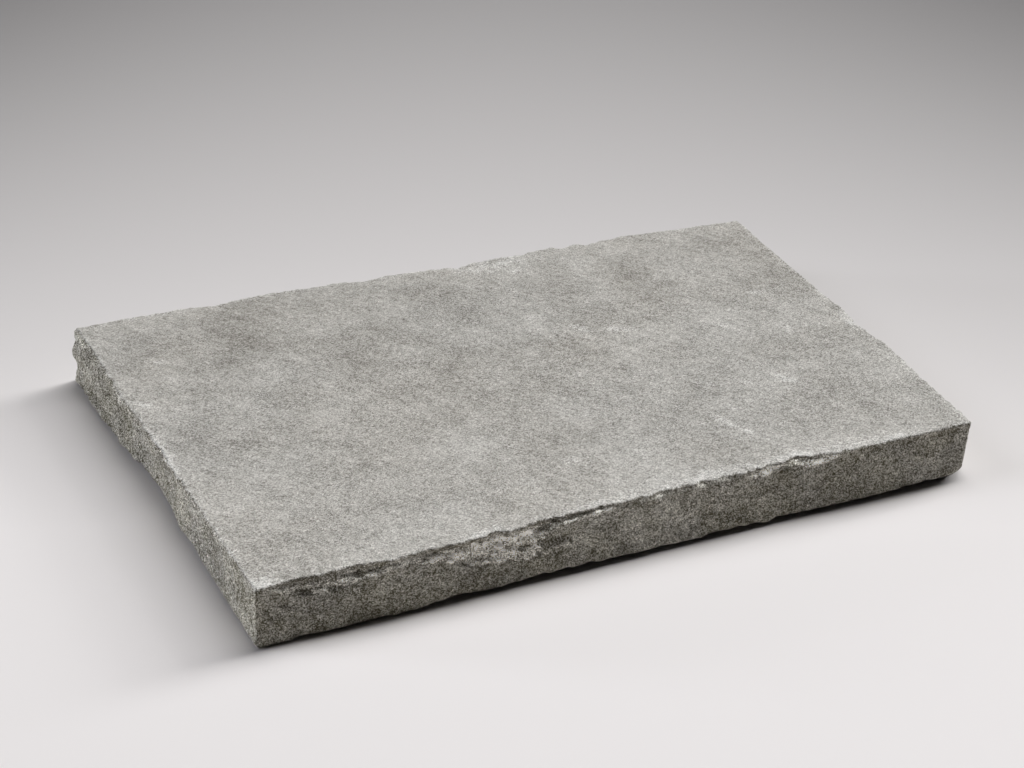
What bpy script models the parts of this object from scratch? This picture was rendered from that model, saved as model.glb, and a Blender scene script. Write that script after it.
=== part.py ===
"""A riven stone paving slab with hand-cropped sides, lying flat.

Metres, +Z up. The origin is the middle of the underside, X runs along the slab and -Y is the
spalled front side. Each side is one profile, from the top arris down to the bottom arris, whose
depths and heights change along the edge; the top and the underside close it.
"""

import bmesh
import bpy
import numpy as np

MM = 0.001

# Plan of the slab, cropped slightly out of square, and its thickness
FRONT_LENGTH = 600 * MM
BACK_LENGTH = 626 * MM
LEFT_WIDTH = 460 * MM
RIGHT_WIDTH = 426 * MM
THICKNESS = 50 * MM
LENGTH = (FRONT_LENGTH + BACK_LENGTH) / 2
WIDTH = (LEFT_WIDTH + RIGHT_WIDTH) / 2

# Stations along each side, anticlockwise from the front left corner: (mm along, mm).
# How far the top arris lies inside the straight edge; a negative value stands proud.
ARRIS_RECESS = {
    "front": [(0, 0), (12, 0.4), (27, 2), (50, 0.8), (69, 2.2), (89, 0.8), (109, -1.8), (140, 0.8),
              (153, -1.2), (175, 0.5), (190, 3.2), (195, -0.6), (215, 1.9), (228, 3.8), (297, 3.6),
              (318, 5.1), (344, 5.1), (366, 6.4), (400, 4.4), (412, 6.9), (430, 7.8), (445, 10.8),
              (467, 4.8), (476, 2.8), (498, 1.7), (535, 1.5), (552, 0.3), (600, 0)],
    "right": [(0, 0), (27, -1.2), (83, -1.1), (115, -3.1), (151, -4.4), (162, -1.2), (180, -1.3),
              (191, 2), (210, -1.1), (226, -2.3), (245, -0.3), (353, 0.8), (426, 0)],
    "back": [(0, 0), (57, -1.8), (114, -6), (139, -3.1), (155, -0.5), (164, -6.6), (179, 0),
             (187, -6.4), (218, -1.5), (263, -1.2), (281, 5), (289, 0), (344, -3.4), (367, 1),
             (381, -4), (465, -5.8), (487, -3.7), (503, 0.9), (529, -3.3), (576, -2.8), (626, 0)],
    "left": [(0, 0), (60, 0.6), (140, -0.4), (210, 0.8), (235, 1.6), (262, -0.2), (340, 0.5), (460, 0)],
}
# How far the wall itself bows inwards at half height
WALL_BOW = {
    "front": [(0, 0), (60, -1), (110, -1.6), (170, 0), (230, 1.5), (300, 3), (360, 4.4), (430, 4.4),
              (480, 2.5), (540, 1.5), (600, 0)],
    "right": [(0, 0), (60, 1.5), (140, -1.5), (230, 0.5), (330, 1.6), (426, 0)],
    "back": [(0, 0), (90, 2), (170, -1.5), (280, 2.2), (380, -1), (500, -1.6), (626, 0)],
    "left": [(0, -2.2), (14, -5), (32, -4.4), (60, -2.8), (90, -2.4), (143, -1.6), (190, 2),
             (235, 2.2), (278, 0.2), (460, 0)],
}
# How much further in the foot of the wall is; a negative value is a foot that flares outwards
FOOT_RECESS = {
    "front": [(0, 0), (60, 0.4), (110, 0), (180, -1), (230, -2.4), (300, -4), (360, -4.6),
              (430, -4.3), (480, -2.8), (540, -1.8), (600, 0)],
    "right": [(0, 0), (90, 2), (200, -1), (320, 2.4), (426, 0)],
    "back": [(0, 0), (120, -1.5), (260, 2.6), (400, 1), (520, -2), (626, 0)],
    "left": [(0, 0), (17, -1.5), (60, -1.8), (119, -2.2), (150, 0), (190, 2.4), (235, 2.4),
             (278, -0.2), (307, 1.6), (335, 0.4), (441, -1), (460, 0)],
}
# The spall under the top arris: height of the steep riser at its back
RISER_HEIGHT = {
    "front": [(0, 1), (15, 3), (40, 5), (80, 4.5), (130, 4), (150, 5), (166, 6), (188, 4.5),
              (202, 5.5), (226, 4), (263, 2.5), (290, 2), (310, 1), (395, 1), (410, 1.6), (475, 1.4),
              (490, 1), (600, 1)],
    "right": [(0, 1), (155, 1), (175, 2), (200, 1), (426, 1)],
    "back": [(0, 1), (200, 1), (300, 3), (470, 2), (520, 1), (626, 1)],
    "left": [(0, 1), (220, 1), (240, 2), (260, 1), (460, 1)],
}
# How far that riser leans in under the arris
RISER_LEAN = {
    "front": [(0, 0), (30, 1), (110, 1), (140, 1.5), (170, 3), (250, 3), (280, 1.5), (330, 1),
              (430, 1), (480, 0.5), (500, 0), (600, 0)],
    "right": [(0, 0), (426, 0)],
    "back": [(0, 0), (280, 0), (330, 1), (430, 1), (480, 0), (626, 0)],
    "left": [(0, 0), (460, 0)],
}
# Height of the rim where the spall's sloping shelf runs out into the wall
RIM_HEIGHT = {
    "front": [(0, 49), (8, 48), (26, 39), (39, 35.7), (50, 34.3), (59, 34.7), (72, 36.3), (84, 38.5),
              (98, 40.2), (108, 41.9), (119, 41.8), (130, 40.1), (140, 38), (154, 33), (166, 27.6),
              (179, 26.5), (190, 25), (204, 22), (216, 20), (222, 23), (228, 39), (236, 43.5), (246, 44.2),
              (254, 45.5), (262, 47), (285, 46), (305, 45), (326, 46), (345, 46), (385, 47.5), (399, 46.5),
              (408, 41.8), (421, 43.8), (440, 45.5), (452, 42.2), (466, 42.2), (479, 45.8), (490, 48),
              (600, 48)],
    "right": [(0, 48), (155, 47), (175, 41), (195, 46), (426, 48)],
    "back": [(0, 48), (150, 46), (165, 38), (195, 42), (270, 47), (320, 36), (420, 32), (480, 44),
             (626, 48)],
    "left": [(0, 48), (222, 47), (240, 42), (262, 47), (460, 48)],
}
# Broken lower arris: its height and how deep it cuts under
LOWER_HEIGHT = {
    "front": [(0, 1), (27, 1.2), (33, 3), (50, 1.8), (87, 1.4), (94, 3.4), (106, 1.4), (119, 2.2),
              (137, 4), (155, 5.3), (183, 3.2), (194, 4.4), (206, 3.8), (226, 5.9), (267, 5.8),
              (325, 4.6), (358, 3.7), (369, 5.2), (395, 5.3), (418, 3.9), (428, 5.8), (433, 4.9),
              (462, 4.3), (500, 3.7), (537, 4.5), (569, 5.8), (590, 7), (600, 6)],
    "right": [(0, 5), (30, 3), (200, 2), (330, 4), (426, 2)],
    "back": [(0, 2), (150, 3), (240, 5), (330, 2), (500, 4), (626, 2)],
    "left": [(0, 2), (100, 2.5), (190, 4), (250, 4), (300, 3), (460, 2)],
}
LOWER_DEPTH = {
    "front": [(0, 2), (30, 7), (110, 10), (150, 14), (430, 14), (540, 12), (600, 5)],
    "right": [(0, 5), (60, 4), (250, 2.5), (426, 2)],
    "back": [(0, 2), (240, 6), (400, 3), (626, 2)],
    "left": [(0, 4), (100, 6), (190, 9), (250, 9), (300, 6), (460, 4)],
}
ARRIS_BLUNT = 1.0  # mm lost from the top arris by wear
# How ragged the top arris is, in mm
ARRIS_RAGGED = {
    "front": [(0, 1.2), (120, 1.4), (150, 2.2), (280, 2.2), (380, 1.8), (410, 2.4), (480, 2), (510, 1.3),
              (600, 1.2)],
    "right": [(0, 1), (150, 1.2), (210, 1.8), (240, 1.2), (426, 1)],
    "back": [(0, 0.8), (150, 1.8), (300, 2), (500, 1.6), (626, 0.8)],
    "left": [(0, 1.4), (150, 1.2), (210, 2), (290, 1.6), (350, 1.2), (460, 1.2)],
}

# Corners knocked off: which corner, the height on it, the way the break faces and its depth in mm
CORNER_PLACES = {
    "front left": (-FRONT_LENGTH / 2, -LEFT_WIDTH / 2),
    "front right": (FRONT_LENGTH / 2, -RIGHT_WIDTH / 2),
    "back right": (BACK_LENGTH / 2, RIGHT_WIDTH / 2),
    "back left": (-BACK_LENGTH / 2, LEFT_WIDTH / 2),
}
BROKEN_CORNERS = [
    ("front right", 0.0, (0.55, -0.40, -0.73), 11.0),
    ("front right", THICKNESS, (0.78, -0.60, -0.10), 0.8),
    ("front left", THICKNESS, (-0.70, -0.70, 0.05), 1.2),
    ("back left", THICKNESS, (-0.60, 0.62, 0.50), 1.2),
    ("back right", 0.0, (0.70, 0.66, -0.27), 6.0),
]

# Roughness of the broken sides: (size of the lumps, how far they stand) in mm
SIDE_LUMPS = [(34, 0.9), (15, 0.8), (7, 0.55)]
# The same for crags, which have sharp ridges
CRAGS = [(16, 1.0), (9, 0.7)]
CREASE_SLOPE = 4  # how steeply a crag falls away from its ridge
# Where the wall breaks into crags: 1 is craggy, 0 is not
CRAGGED = {
    "front": [(0, 0.15), (600, 0.15)],
    "right": [(0, 0.2), (200, 0.5), (426, 0.3)],
    "back": [(0, 0.4), (300, 0.6), (560, 0.7), (626, 1)],
    "left": [(0, 1.1), (120, 1), (180, 0.5), (240, 0.5), (300, 0.25), (460, 0.2)],
}
# Single dents in the sides: side, mm along, mm up, half width, half height and depth in mm; a
# negative depth is a lump
DENTS = [
    ("front", 7, 31, 2.2, 2, 1.3), ("front", 20, 32, 2.6, 2, 1.6), ("front", 13, 23, 2.2, 2.2, 1.4),
    ("front", 24, 30, 2, 2, 1.2), ("front", 38, 22, 2.6, 2.2, 1.4), ("front", 163, 18, 3.5, 2.4, 1),
    ("front", 243, 33, 17, 4.5, 1.8), ("front", 237, 25, 15, 1.8, -1), ("front", 181, 39, 7, 2.6, 1.6),
    ("front", 135, 44.5, 6, 2, 1.2), ("front", 150, 46.2, 5, 1.6, 1.2), ("front", 547, 45, 5, 2.2, 1.1),
    ("front", 583, 42, 3, 3, 1.4), ("front", 300, 12, 4, 3, 1), ("front", 452, 30, 3, 3, 0.8),
    ("left", 18, 34, 10, 7, -2.4), ("left", 30, 26, 6, 4, 2), ("left", 52, 20, 14, 7, -1.6),
    ("left", 88, 38, 8, 4, 1.8), ("left", 128, 16, 16, 8, -1.5), ("left", 250, 43, 14, 4, 1.6),
    ("left", 10, 14, 5, 4, 2.2), ("left", 45, 38, 5, 5, 2), ("left", 66, 30, 4, 6, 1.8),
    ("left", 110, 26, 5, 5, 2), ("left", 74, 10, 6, 3, 1.8), ("left", 160, 32, 6, 5, 1.4),
]
# How the measures above wander along the edge: (size of the lumps, share or mm of change)
RAGGED_LUMPS = (6.5, 0.6)
BLUNT_LUMPS = (6, 0.4)
RISER_LUMPS = (5, 0.25)
RIM_LUMPS = (6, 1.2)
LOWER_LUMPS = (7, 0.15)
# The spall's shelf falls in terraces, which wander too
TERRACES = 3.5
TERRACE_LEVEL = 0.55  # share of a terrace that is level before it drops
TERRACE_SHARE = 0.75  # share of the shelf's fall taken by the terraces
TERRACE_LUMPS = [(25, 0.8), (8, 0.4)]
SHELF = 2  # the third straight piece of the profile
LEAST_RISER = 1.2  # the riser's height at least, in blunted arrises
RIM_BELOW_RISER = 1.3  # how far the rim is below the top at least, in risers
BOW_LOST = 0.25  # share of the bow that the wall loses towards its arrises
FOOT_CURVE = 1.5  # how suddenly the foot of the wall turns in
ARRIS_ROUGHNESS = 0.3  # share of the roughness that reaches the arrises
ARRIS_BAND = 1 / 8  # share of the thickness in which the roughness fades
TOP_RIM = 40 * MM  # breadth of the band in which the top follows its chipped edge
FAR_AWAY = 99  # a distance at which a dent is no longer felt, in its own breadths
CORNER_BLEND = 9 * MM  # how near a corner the depths of both its sides count
AT_THE_TOP = 0.999  # share of the thickness above which a point belongs to the top arris

# Fineness of the skin
COLUMNS_ALONG = 200
COLUMNS_ACROSS = 144
SIDE_ROWS = 18
# Rings of the top and the underside: (share of the rim's breadth, whether the points halve there)
RINGS = [(0.06, False), (0.15, True), (0.32, True), (0.6, False)]
TRIANGLES_KEPT = 9400
NEARLY_LEVEL = 0.15 * MM  # points this near the top or the underside belong to it

STONE_COLOUR = (0.36, 0.35, 0.33, 1.0)
STONE_ROUGHNESS = 0.92
NOISE_CELLS = 24
NOISE_START = 100  # keeps the lattice's cell numbers positive
# Seeds of the lumps, one for each use
RAGGED_SEED, BLUNT_SEED, RISER_SEED, RIM_SEED, LOWER_SEED, TERRACE_SEED = 4, 5, 6, 7, 8, 9
SIDE_SEED = 11
CRAG_SEED = 51

SIDES = [("front", COLUMNS_ALONG, FRONT_LENGTH), ("right", COLUMNS_ACROSS, RIGHT_WIDTH),
         ("back", COLUMNS_ALONG, BACK_LENGTH), ("left", COLUMNS_ACROSS, LEFT_WIDTH)]
COLUMNS = 2 * (COLUMNS_ALONG + COLUMNS_ACROSS)
SIDE_OF_COLUMN = np.repeat([name for name, _, _ in SIDES], [count for _, count, _ in SIDES])
PLACE_OF_COLUMN = np.concatenate([np.arange(count) / count * length for _, count, length in SIDES])


def clear_scene():
    for obj in list(bpy.data.objects):
        bpy.data.objects.remove(obj, do_unlink=True)


def lumps(points, size, seed):
    """Smooth noise from -1 to 1: random values on a turned lattice of this size, blended between."""
    rng = np.random.default_rng(seed)
    table = rng.uniform(-1, 1, (NOISE_CELLS,) * 3)
    turn = np.linalg.qr(rng.normal(size=(3, 3)))[0]
    spot = points @ turn / size + NOISE_START
    cell = np.floor(spot).astype(int)
    share = spot - cell
    share = share * share * (3 - 2 * share)
    total = 0
    for corner in np.ndindex(2, 2, 2):
        weight = np.where(corner, share, 1 - share).prod(-1)
        i, j, k = np.moveaxis((cell + corner) % NOISE_CELLS, -1, 0)
        total = total + weight * table[i, j, k]
    return total


def wander(points, layer, seed):
    """One layer of lumps in its own unit."""
    size, change = layer
    return change * lumps(points, size * MM, seed)


def relief(points, layers, first_seed):
    """Sum of lumps times their heights, in metres."""
    return sum(lumps(points, size * MM, seed) * tall * MM
               for seed, (size, tall) in enumerate(layers, start=first_seed))


def creased(points, layers, first_seed):
    """Like relief, with a sharp ridge wherever the lumps pass through zero."""
    return sum((1 - CREASE_SLOPE * abs(lumps(points, size * MM, seed))) * tall * MM
               for seed, (size, tall) in enumerate(layers, start=first_seed))


def along(table):
    """The stations' values at every column, joined round the slab, in metres."""
    parts = []
    for name, count, length in SIDES:
        place = np.arange(count) / count * length / MM
        parts.append(np.interp(place, *np.transpose(table[name])))
    return np.concatenate(parts) * MM


def straight_plan():
    """The mean rectangle's outline, one point for each column."""
    x = LENGTH / 2
    y = WIDTH / 2
    a = np.arange(COLUMNS_ALONG) / COLUMNS_ALONG * 2 - 1
    b = np.arange(COLUMNS_ACROSS) / COLUMNS_ACROSS * 2 - 1
    front = np.stack([a * x, 0 * a - y], axis=-1)
    right = np.stack([0 * b + x, b * y], axis=-1)
    return np.concatenate([front, right, -front, -right])


def terraced(share, shift):
    """Steps on a slope: level, then a short drop, as often as there are terraces."""
    passed = TERRACES * share + shift
    step = np.floor(passed)
    part = np.clip((passed - step - TERRACE_LEVEL) / (1 - TERRACE_LEVEL), 0, 1)
    smooth = part * part * (3 - 2 * part)
    return np.clip((step + smooth - shift) / TERRACES, 0, 1)


def chain(plan):
    """Depths and heights of the six points of each column's profile.

    They are the blunted arris, the riser's top and foot, the rim, the wall's foot and the inner
    edge of the broken lower arris.
    """
    ragged = wander(plan, RAGGED_LUMPS, RAGGED_SEED) * along(ARRIS_RAGGED)
    recess = along(ARRIS_RECESS) - along(WALL_BOW) + ragged
    blunt = (ARRIS_BLUNT + wander(plan, BLUNT_LUMPS, BLUNT_SEED)) * MM
    riser = along(RISER_HEIGHT) * (1 + wander(plan, RISER_LUMPS, RISER_SEED))
    riser = np.maximum(riser, LEAST_RISER * blunt)
    rim = along(RIM_HEIGHT) + wander(plan, RIM_LUMPS, RIM_SEED) * MM
    rim = np.minimum(rim, THICKNESS - RIM_BELOW_RISER * riser)
    low_height = along(LOWER_HEIGHT) * (1 + wander(plan, LOWER_LUMPS, LOWER_SEED))
    zero = np.zeros_like(recess)
    top = zero + THICKNESS
    depths = [recess + blunt, recess, recess + along(RISER_LEAN), zero, zero, along(LOWER_DEPTH)]
    heights = [top, top - blunt, top - riser, rim, low_height, zero]
    return np.stack(depths), np.stack(heights)


def side_profile(plan):
    """Depth and height of each point of the sides, in rows spaced evenly down the profile."""
    depths, heights = chain(plan)
    run = np.hypot(np.diff(depths, axis=0), np.diff(heights, axis=0))
    reach = np.concatenate([np.zeros((1, COLUMNS)), np.cumsum(run, axis=0)])
    goal = np.linspace(0, 1, SIDE_ROWS + 1)[:, None] * reach[-1]
    depth = np.repeat(depths[:1], SIDE_ROWS + 1, axis=0)
    height = np.repeat(heights[:1], SIDE_ROWS + 1, axis=0)
    shift = sum(wander(plan, layer, TERRACE_SEED + number) for number, layer in enumerate(TERRACE_LUMPS))
    for step in range(len(run)):
        share = np.clip((goal - reach[step]) / np.maximum(run[step], 1e-9), 0, 1)
        inwards = share
        if step == SHELF:
            inwards = (1 - TERRACE_SHARE) * share + TERRACE_SHARE * terraced(share, shift)
        depth = depth + inwards * (depths[step + 1] - depths[step])
        height = height + share * (heights[step + 1] - heights[step])
    bow = along(WALL_BOW)
    up = height / THICKNESS
    bulge = np.where(up > AT_THE_TOP, bow, bow * (1 - BOW_LOST * (2 * up - 1) ** 2))
    return depth + bulge + along(FOOT_RECESS) * (1 - up) ** FOOT_CURVE, height


def dents(height):
    """Each dent is a smooth hollow, deepest at its middle."""
    total = np.zeros_like(height)
    for name, place, level, wide, tall, deep in DENTS:
        sideways = np.where(SIDE_OF_COLUMN == name, (PLACE_OF_COLUMN / MM - place) / wide, FAR_AWAY)
        total += deep * MM * np.exp(-sideways ** 2 - ((height / MM - level) / tall) ** 2)
    return total


def roughened(plan, depth, height):
    """The depths with lumps, crags and dents, weaker near the two arrises."""
    flat = np.dstack([*np.broadcast_arrays(plan[:, 0], plan[:, 1], height)])
    up = height / THICKNESS
    middle = np.clip(np.minimum(up, 1 - up) / ARRIS_BAND, 0, 1)
    rough = relief(flat, SIDE_LUMPS, SIDE_SEED)
    rough = rough + creased(flat, CRAGS, CRAG_SEED) * along(CRAGGED) / MM
    return depth - rough * (ARRIS_ROUGHNESS + (1 - ARRIS_ROUGHNESS) * middle) + dents(height)


def moved_inwards(plan, depth):
    """Each column moved square to its side, and near a corner also by the other side's depth."""
    ways = np.array([(0, 1), (-1, 0), (0, -1), (1, 0)])
    spots = np.repeat(plan[None], len(depth), axis=0)
    starts = np.cumsum([0] + [count for _, count, _ in SIDES])
    for side, (_, count, length) in enumerate(SIDES):
        own = slice(starts[side], starts[side + 1])
        place = np.arange(count) / count * length
        spots[:, own] += depth[:, own, None] * ways[side]
        following = (side + 1) % len(SIDES)
        for gap, other, column in ((place, side - 1, starts[side] - 1),
                                   (length - place, following, starts[side + 1] % COLUMNS)):
            share = np.clip(1 - gap / CORNER_BLEND, 0, 1)
            share = share * share * (3 - 2 * share)
            spots[:, own] += (share * depth[:, [column]])[..., None] * ways[other]
    return spots


def strip(upper, lower):
    """Quads between two closed loops of point numbers."""
    return np.stack([upper, np.roll(upper, -1), np.roll(lower, -1), lower], axis=-1).tolist()


def halving(fine, coarse):
    """Triangles between a closed loop and one with half as many points."""
    first = fine[0::2]
    middle = fine[1::2]
    after = np.roll(first, -1)
    following = np.roll(coarse, -1)
    wedges = [(first, middle, coarse), (middle, following, coarse), (middle, after, following)]
    return [face for wedge in wedges for face in np.stack(wedge, axis=-1).tolist()]


def cap(plan, edge, edge_ids, number):
    """Closes the loop edge with rings on their way in, then a plain lattice.

    Its new points are numbered from number. Returns the points at the loop's height, and the faces.
    """
    inner = plan * [1 - 2 * TOP_RIM / LENGTH, 1 - 2 * TOP_RIM / WIDTH]
    points = []
    faces = []
    loop = edge_ids
    step = 1
    for share, halve in RINGS:
        step *= 2 if halve else 1
        ring = edge[::step, :2] * (1 - share) + inner[::step] * share
        ids = np.arange(len(ring)) + number
        faces += halving(loop, ids) if halve else strip(loop, ids)
        points.append(ring)
        number += len(ring)
        loop = ids
    x = np.linspace(-1, 1, COLUMNS_ALONG // step + 1) * (LENGTH / 2 - TOP_RIM)
    y = np.linspace(-1, 1, COLUMNS_ACROSS // step + 1) * (WIDTH / 2 - TOP_RIM)
    grid = np.stack(np.meshgrid(x, y), axis=-1)
    ids = np.arange(grid.shape[0] * grid.shape[1]).reshape(grid.shape[:2]) + number
    border = np.concatenate([ids[0, :-1], ids[:-1, -1], ids[-1, :0:-1], ids[:0:-1, 0]])
    faces += strip(loop, border)
    cells = np.stack([ids[:-1, :-1], ids[:-1, 1:], ids[1:, 1:], ids[1:, :-1]], axis=-1)
    faces += cells.reshape(-1, 4).tolist()
    points.append(grid.reshape(-1, 2))
    flat = np.concatenate(points)
    return np.column_stack([flat, np.full(len(flat), edge[0, 2])]), faces


def out_of_square(points):
    """Stretches the mean rectangle to the real plan, whose four sides all differ."""
    x, y, z = points.T
    lengthwise = 1 + (BACK_LENGTH - FRONT_LENGTH) / LENGTH * y / WIDTH
    crosswise = 1 + (RIGHT_WIDTH - LEFT_WIDTH) / WIDTH * x / LENGTH
    return np.column_stack([x * lengthwise, y * crosswise, z])


def break_corners(points):
    """Flattens whatever stands proud of each break onto its plane."""
    for corner, height, facing, depth in BROKEN_CORNERS:
        normal = np.array(facing) / np.linalg.norm(facing)
        place = np.array([*CORNER_PLACES[corner], height]) - depth * MM * normal
        beyond = np.maximum((points - place) @ normal, 0)
        points = points - beyond[:, None] * normal
    points[:, 2] = np.clip(points[:, 2], 0, THICKNESS)
    return points


def slab_mesh():
    plan = straight_plan()
    depth, height = side_profile(np.column_stack([plan, np.zeros(COLUMNS)]))
    depth = roughened(plan, depth, height)
    walls = np.dstack([moved_inwards(plan, depth), height])
    ids = np.arange(walls.shape[0] * COLUMNS).reshape(walls.shape[:2])
    faces = [face for upper, lower in zip(ids[:-1], ids[1:]) for face in strip(upper, lower)]
    top_points, top_faces = cap(plan, walls[0], ids[0], ids.size)
    base_points, base_faces = cap(plan, walls[-1], ids[-1], ids.size + len(top_points))
    points = np.concatenate([walls.reshape(-1, 3), top_points, base_points])
    points = break_corners(out_of_square(points))
    mesh = bpy.data.meshes.new("slab_fine")
    mesh.from_pydata(points.tolist(), [], faces + top_faces + base_faces)
    shape = bmesh.new()
    shape.from_mesh(mesh)
    bmesh.ops.recalc_face_normals(shape, faces=shape.faces)
    bmesh.ops.triangulate(shape, faces=shape.faces)
    shape.to_mesh(mesh)
    shape.free()
    return mesh


def stone():
    material = bpy.data.materials.new("riven_stone")
    material.use_nodes = True
    shader = material.node_tree.nodes["Principled BSDF"]
    shader.inputs["Base Color"].default_value = STONE_COLOUR
    shader.inputs["Roughness"].default_value = STONE_ROUGHNESS
    shader.inputs["Metallic"].default_value = 0.0
    return material


def thinned(mesh):
    """The mesh with fewer faces, and the rest of its flats exactly level again."""
    fine = bpy.data.objects.new("slab_fine", mesh)
    bpy.context.collection.objects.link(fine)
    thin = fine.modifiers.new("fewer faces on the flats", "DECIMATE")
    thin.ratio = TRIANGLES_KEPT / len(mesh.polygons)
    graph = bpy.context.evaluated_depsgraph_get()
    result = bpy.data.meshes.new_from_object(fine.evaluated_get(graph))
    bpy.data.objects.remove(fine)
    heights = np.array([vertex.co.z for vertex in result.vertices])
    for level in (0.0, THICKNESS):
        for number in np.flatnonzero(abs(heights - level) < NEARLY_LEVEL):
            result.vertices[number].co.z = level
    return result


def slab():
    mesh = thinned(slab_mesh())
    mesh.name = "slate_slab"
    mesh.materials.append(stone())
    obj = bpy.data.objects.new("slate_slab", mesh)
    bpy.context.collection.objects.link(obj)
    return obj


clear_scene()
slab()
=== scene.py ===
# %% [markdown]
# # A riven slate slab, lying flat
#
# The object is one block of natural stone, about 600 x 450 x 50 mm. A mason splits such a slab
# along its bedding, which leaves a level top with a fine riven grain, and crops the four sides
# with hammer and chisel, which leaves rough walls, spalled arrises and knocked corners. We load
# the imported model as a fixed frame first, because every size below has to agree with it.

# %% Load the frame
import bmesh
import bpy
import math
import numpy as np
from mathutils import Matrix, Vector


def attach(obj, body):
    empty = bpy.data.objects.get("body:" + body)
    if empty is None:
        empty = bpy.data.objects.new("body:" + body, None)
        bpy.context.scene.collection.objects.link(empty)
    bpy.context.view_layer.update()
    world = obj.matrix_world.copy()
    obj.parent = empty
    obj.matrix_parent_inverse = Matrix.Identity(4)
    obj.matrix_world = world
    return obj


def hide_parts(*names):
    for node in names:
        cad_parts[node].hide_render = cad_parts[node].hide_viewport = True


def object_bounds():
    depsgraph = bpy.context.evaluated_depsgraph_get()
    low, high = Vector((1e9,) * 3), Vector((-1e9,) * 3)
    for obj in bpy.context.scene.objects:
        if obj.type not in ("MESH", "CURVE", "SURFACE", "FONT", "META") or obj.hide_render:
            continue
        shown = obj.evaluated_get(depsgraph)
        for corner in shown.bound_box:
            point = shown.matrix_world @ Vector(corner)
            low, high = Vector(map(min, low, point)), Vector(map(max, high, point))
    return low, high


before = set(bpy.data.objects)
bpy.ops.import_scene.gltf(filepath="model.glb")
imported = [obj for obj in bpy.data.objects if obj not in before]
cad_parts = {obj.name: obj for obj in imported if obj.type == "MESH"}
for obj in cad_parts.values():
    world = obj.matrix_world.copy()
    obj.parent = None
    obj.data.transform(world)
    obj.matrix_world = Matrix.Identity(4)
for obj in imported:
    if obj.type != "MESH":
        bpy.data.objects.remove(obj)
solid_box = [list(corner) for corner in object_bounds()]
print("solid box in mm:", [[round(1000 * value, 1) for value in corner] for corner in solid_box])

# %% [markdown]
# ## The plan and the chipped edges
#
# A mason's slab is never quite square, so the four sides have four lengths. Each side is
# described as a draughtsman would: by stations along it, each with how far in the arris lies, how
# the wall bows, how high the riser of the spall stands and where its shelf runs out. Between two
# stations the values are blended in a straight line, which is also how stone chips: in short
# straight breaks. The solid is built from the same stations, so both have the same outline
# within a millimetre.

# %% Sizes
MM = 0.001
FRONT_LENGTH = 600 * MM
BACK_LENGTH = 626 * MM
LEFT_WIDTH = 460 * MM
RIGHT_WIDTH = 426 * MM
THICKNESS = 50 * MM
LENGTH = (FRONT_LENGTH + BACK_LENGTH) / 2
WIDTH = (LEFT_WIDTH + RIGHT_WIDTH) / 2
print("mean plan:", round(LENGTH / MM), "x", round(WIDTH / MM), "mm")

# %% Course of the top arris
# Stations are (mm along, value in mm), anticlockwise from the front left corner.
# How far the top arris lies inside the straight edge; a negative value stands proud.
ARRIS_RECESS = {
    "front": [(0, 0), (12, 0.4), (27, 2), (50, 0.8), (69, 2.2), (89, 0.8), (109, -1.8), (140, 0.8),
              (153, -1.2), (175, 0.5), (190, 3.2), (195, -0.6), (215, 1.9), (228, 3.8), (297, 3.6),
              (318, 5.1), (344, 5.1), (366, 6.4), (400, 4.4), (412, 6.9), (430, 7.8), (445, 10.8),
              (467, 4.8), (476, 2.8), (498, 1.7), (535, 1.5), (552, 0.3), (600, 0)],
    "right": [(0, 0), (27, -1.2), (83, -1.1), (115, -3.1), (151, -4.4), (162, -1.2), (180, -1.3),
              (191, 2), (210, -1.1), (226, -2.3), (245, -0.3), (353, 0.8), (426, 0)],
    "back": [(0, 0), (57, -1.8), (114, -6), (139, -3.1), (155, -0.5), (164, -6.6), (179, 0),
             (187, -6.4), (218, -1.5), (263, -1.2), (281, 5), (289, 0), (344, -3.4), (367, 1),
             (381, -4), (465, -5.8), (487, -3.7), (503, 0.9), (529, -3.3), (576, -2.8), (626, 0)],
    "left": [(0, 0), (60, 0.6), (140, -0.4), (210, 0.8), (235, 1.6), (262, -0.2), (340, 0.5), (460, 0)],
}
print("stations on the arris:", {name: len(table) for name, table in ARRIS_RECESS.items()})

# %% Bow and foot of the walls
# How far the wall itself bows inwards at half height
WALL_BOW = {
    "front": [(0, 0), (60, -1), (110, -1.6), (170, 0), (230, 1.5), (300, 3), (360, 4.4), (430, 4.4),
              (480, 2.5), (540, 1.5), (600, 0)],
    "right": [(0, 0), (60, 1.5), (140, -1.5), (230, 0.5), (330, 1.6), (426, 0)],
    "back": [(0, 0), (90, 2), (170, -1.5), (280, 2.2), (380, -1), (500, -1.6), (626, 0)],
    "left": [(0, -2.2), (14, -5), (32, -4.4), (60, -2.8), (90, -2.4), (143, -1.6), (190, 2),
             (235, 2.2), (278, 0.2), (460, 0)],
}
# How much further in the foot of the wall is; a negative value is a foot that flares outwards
FOOT_RECESS = {
    "front": [(0, 0), (60, 0.4), (110, 0), (180, -1), (230, -2.4), (300, -4), (360, -4.6),
              (430, -4.3), (480, -2.8), (540, -1.8), (600, 0)],
    "right": [(0, 0), (90, 2), (200, -1), (320, 2.4), (426, 0)],
    "back": [(0, 0), (120, -1.5), (260, 2.6), (400, 1), (520, -2), (626, 0)],
    "left": [(0, 0), (17, -1.5), (60, -1.8), (119, -2.2), (150, 0), (190, 2.4), (235, 2.4),
             (278, -0.2), (307, 1.6), (335, 0.4), (441, -1), (460, 0)],
}
print("foot of the right side in by up to", max(value for _, value in FOOT_RECESS["right"]), "mm")

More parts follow.
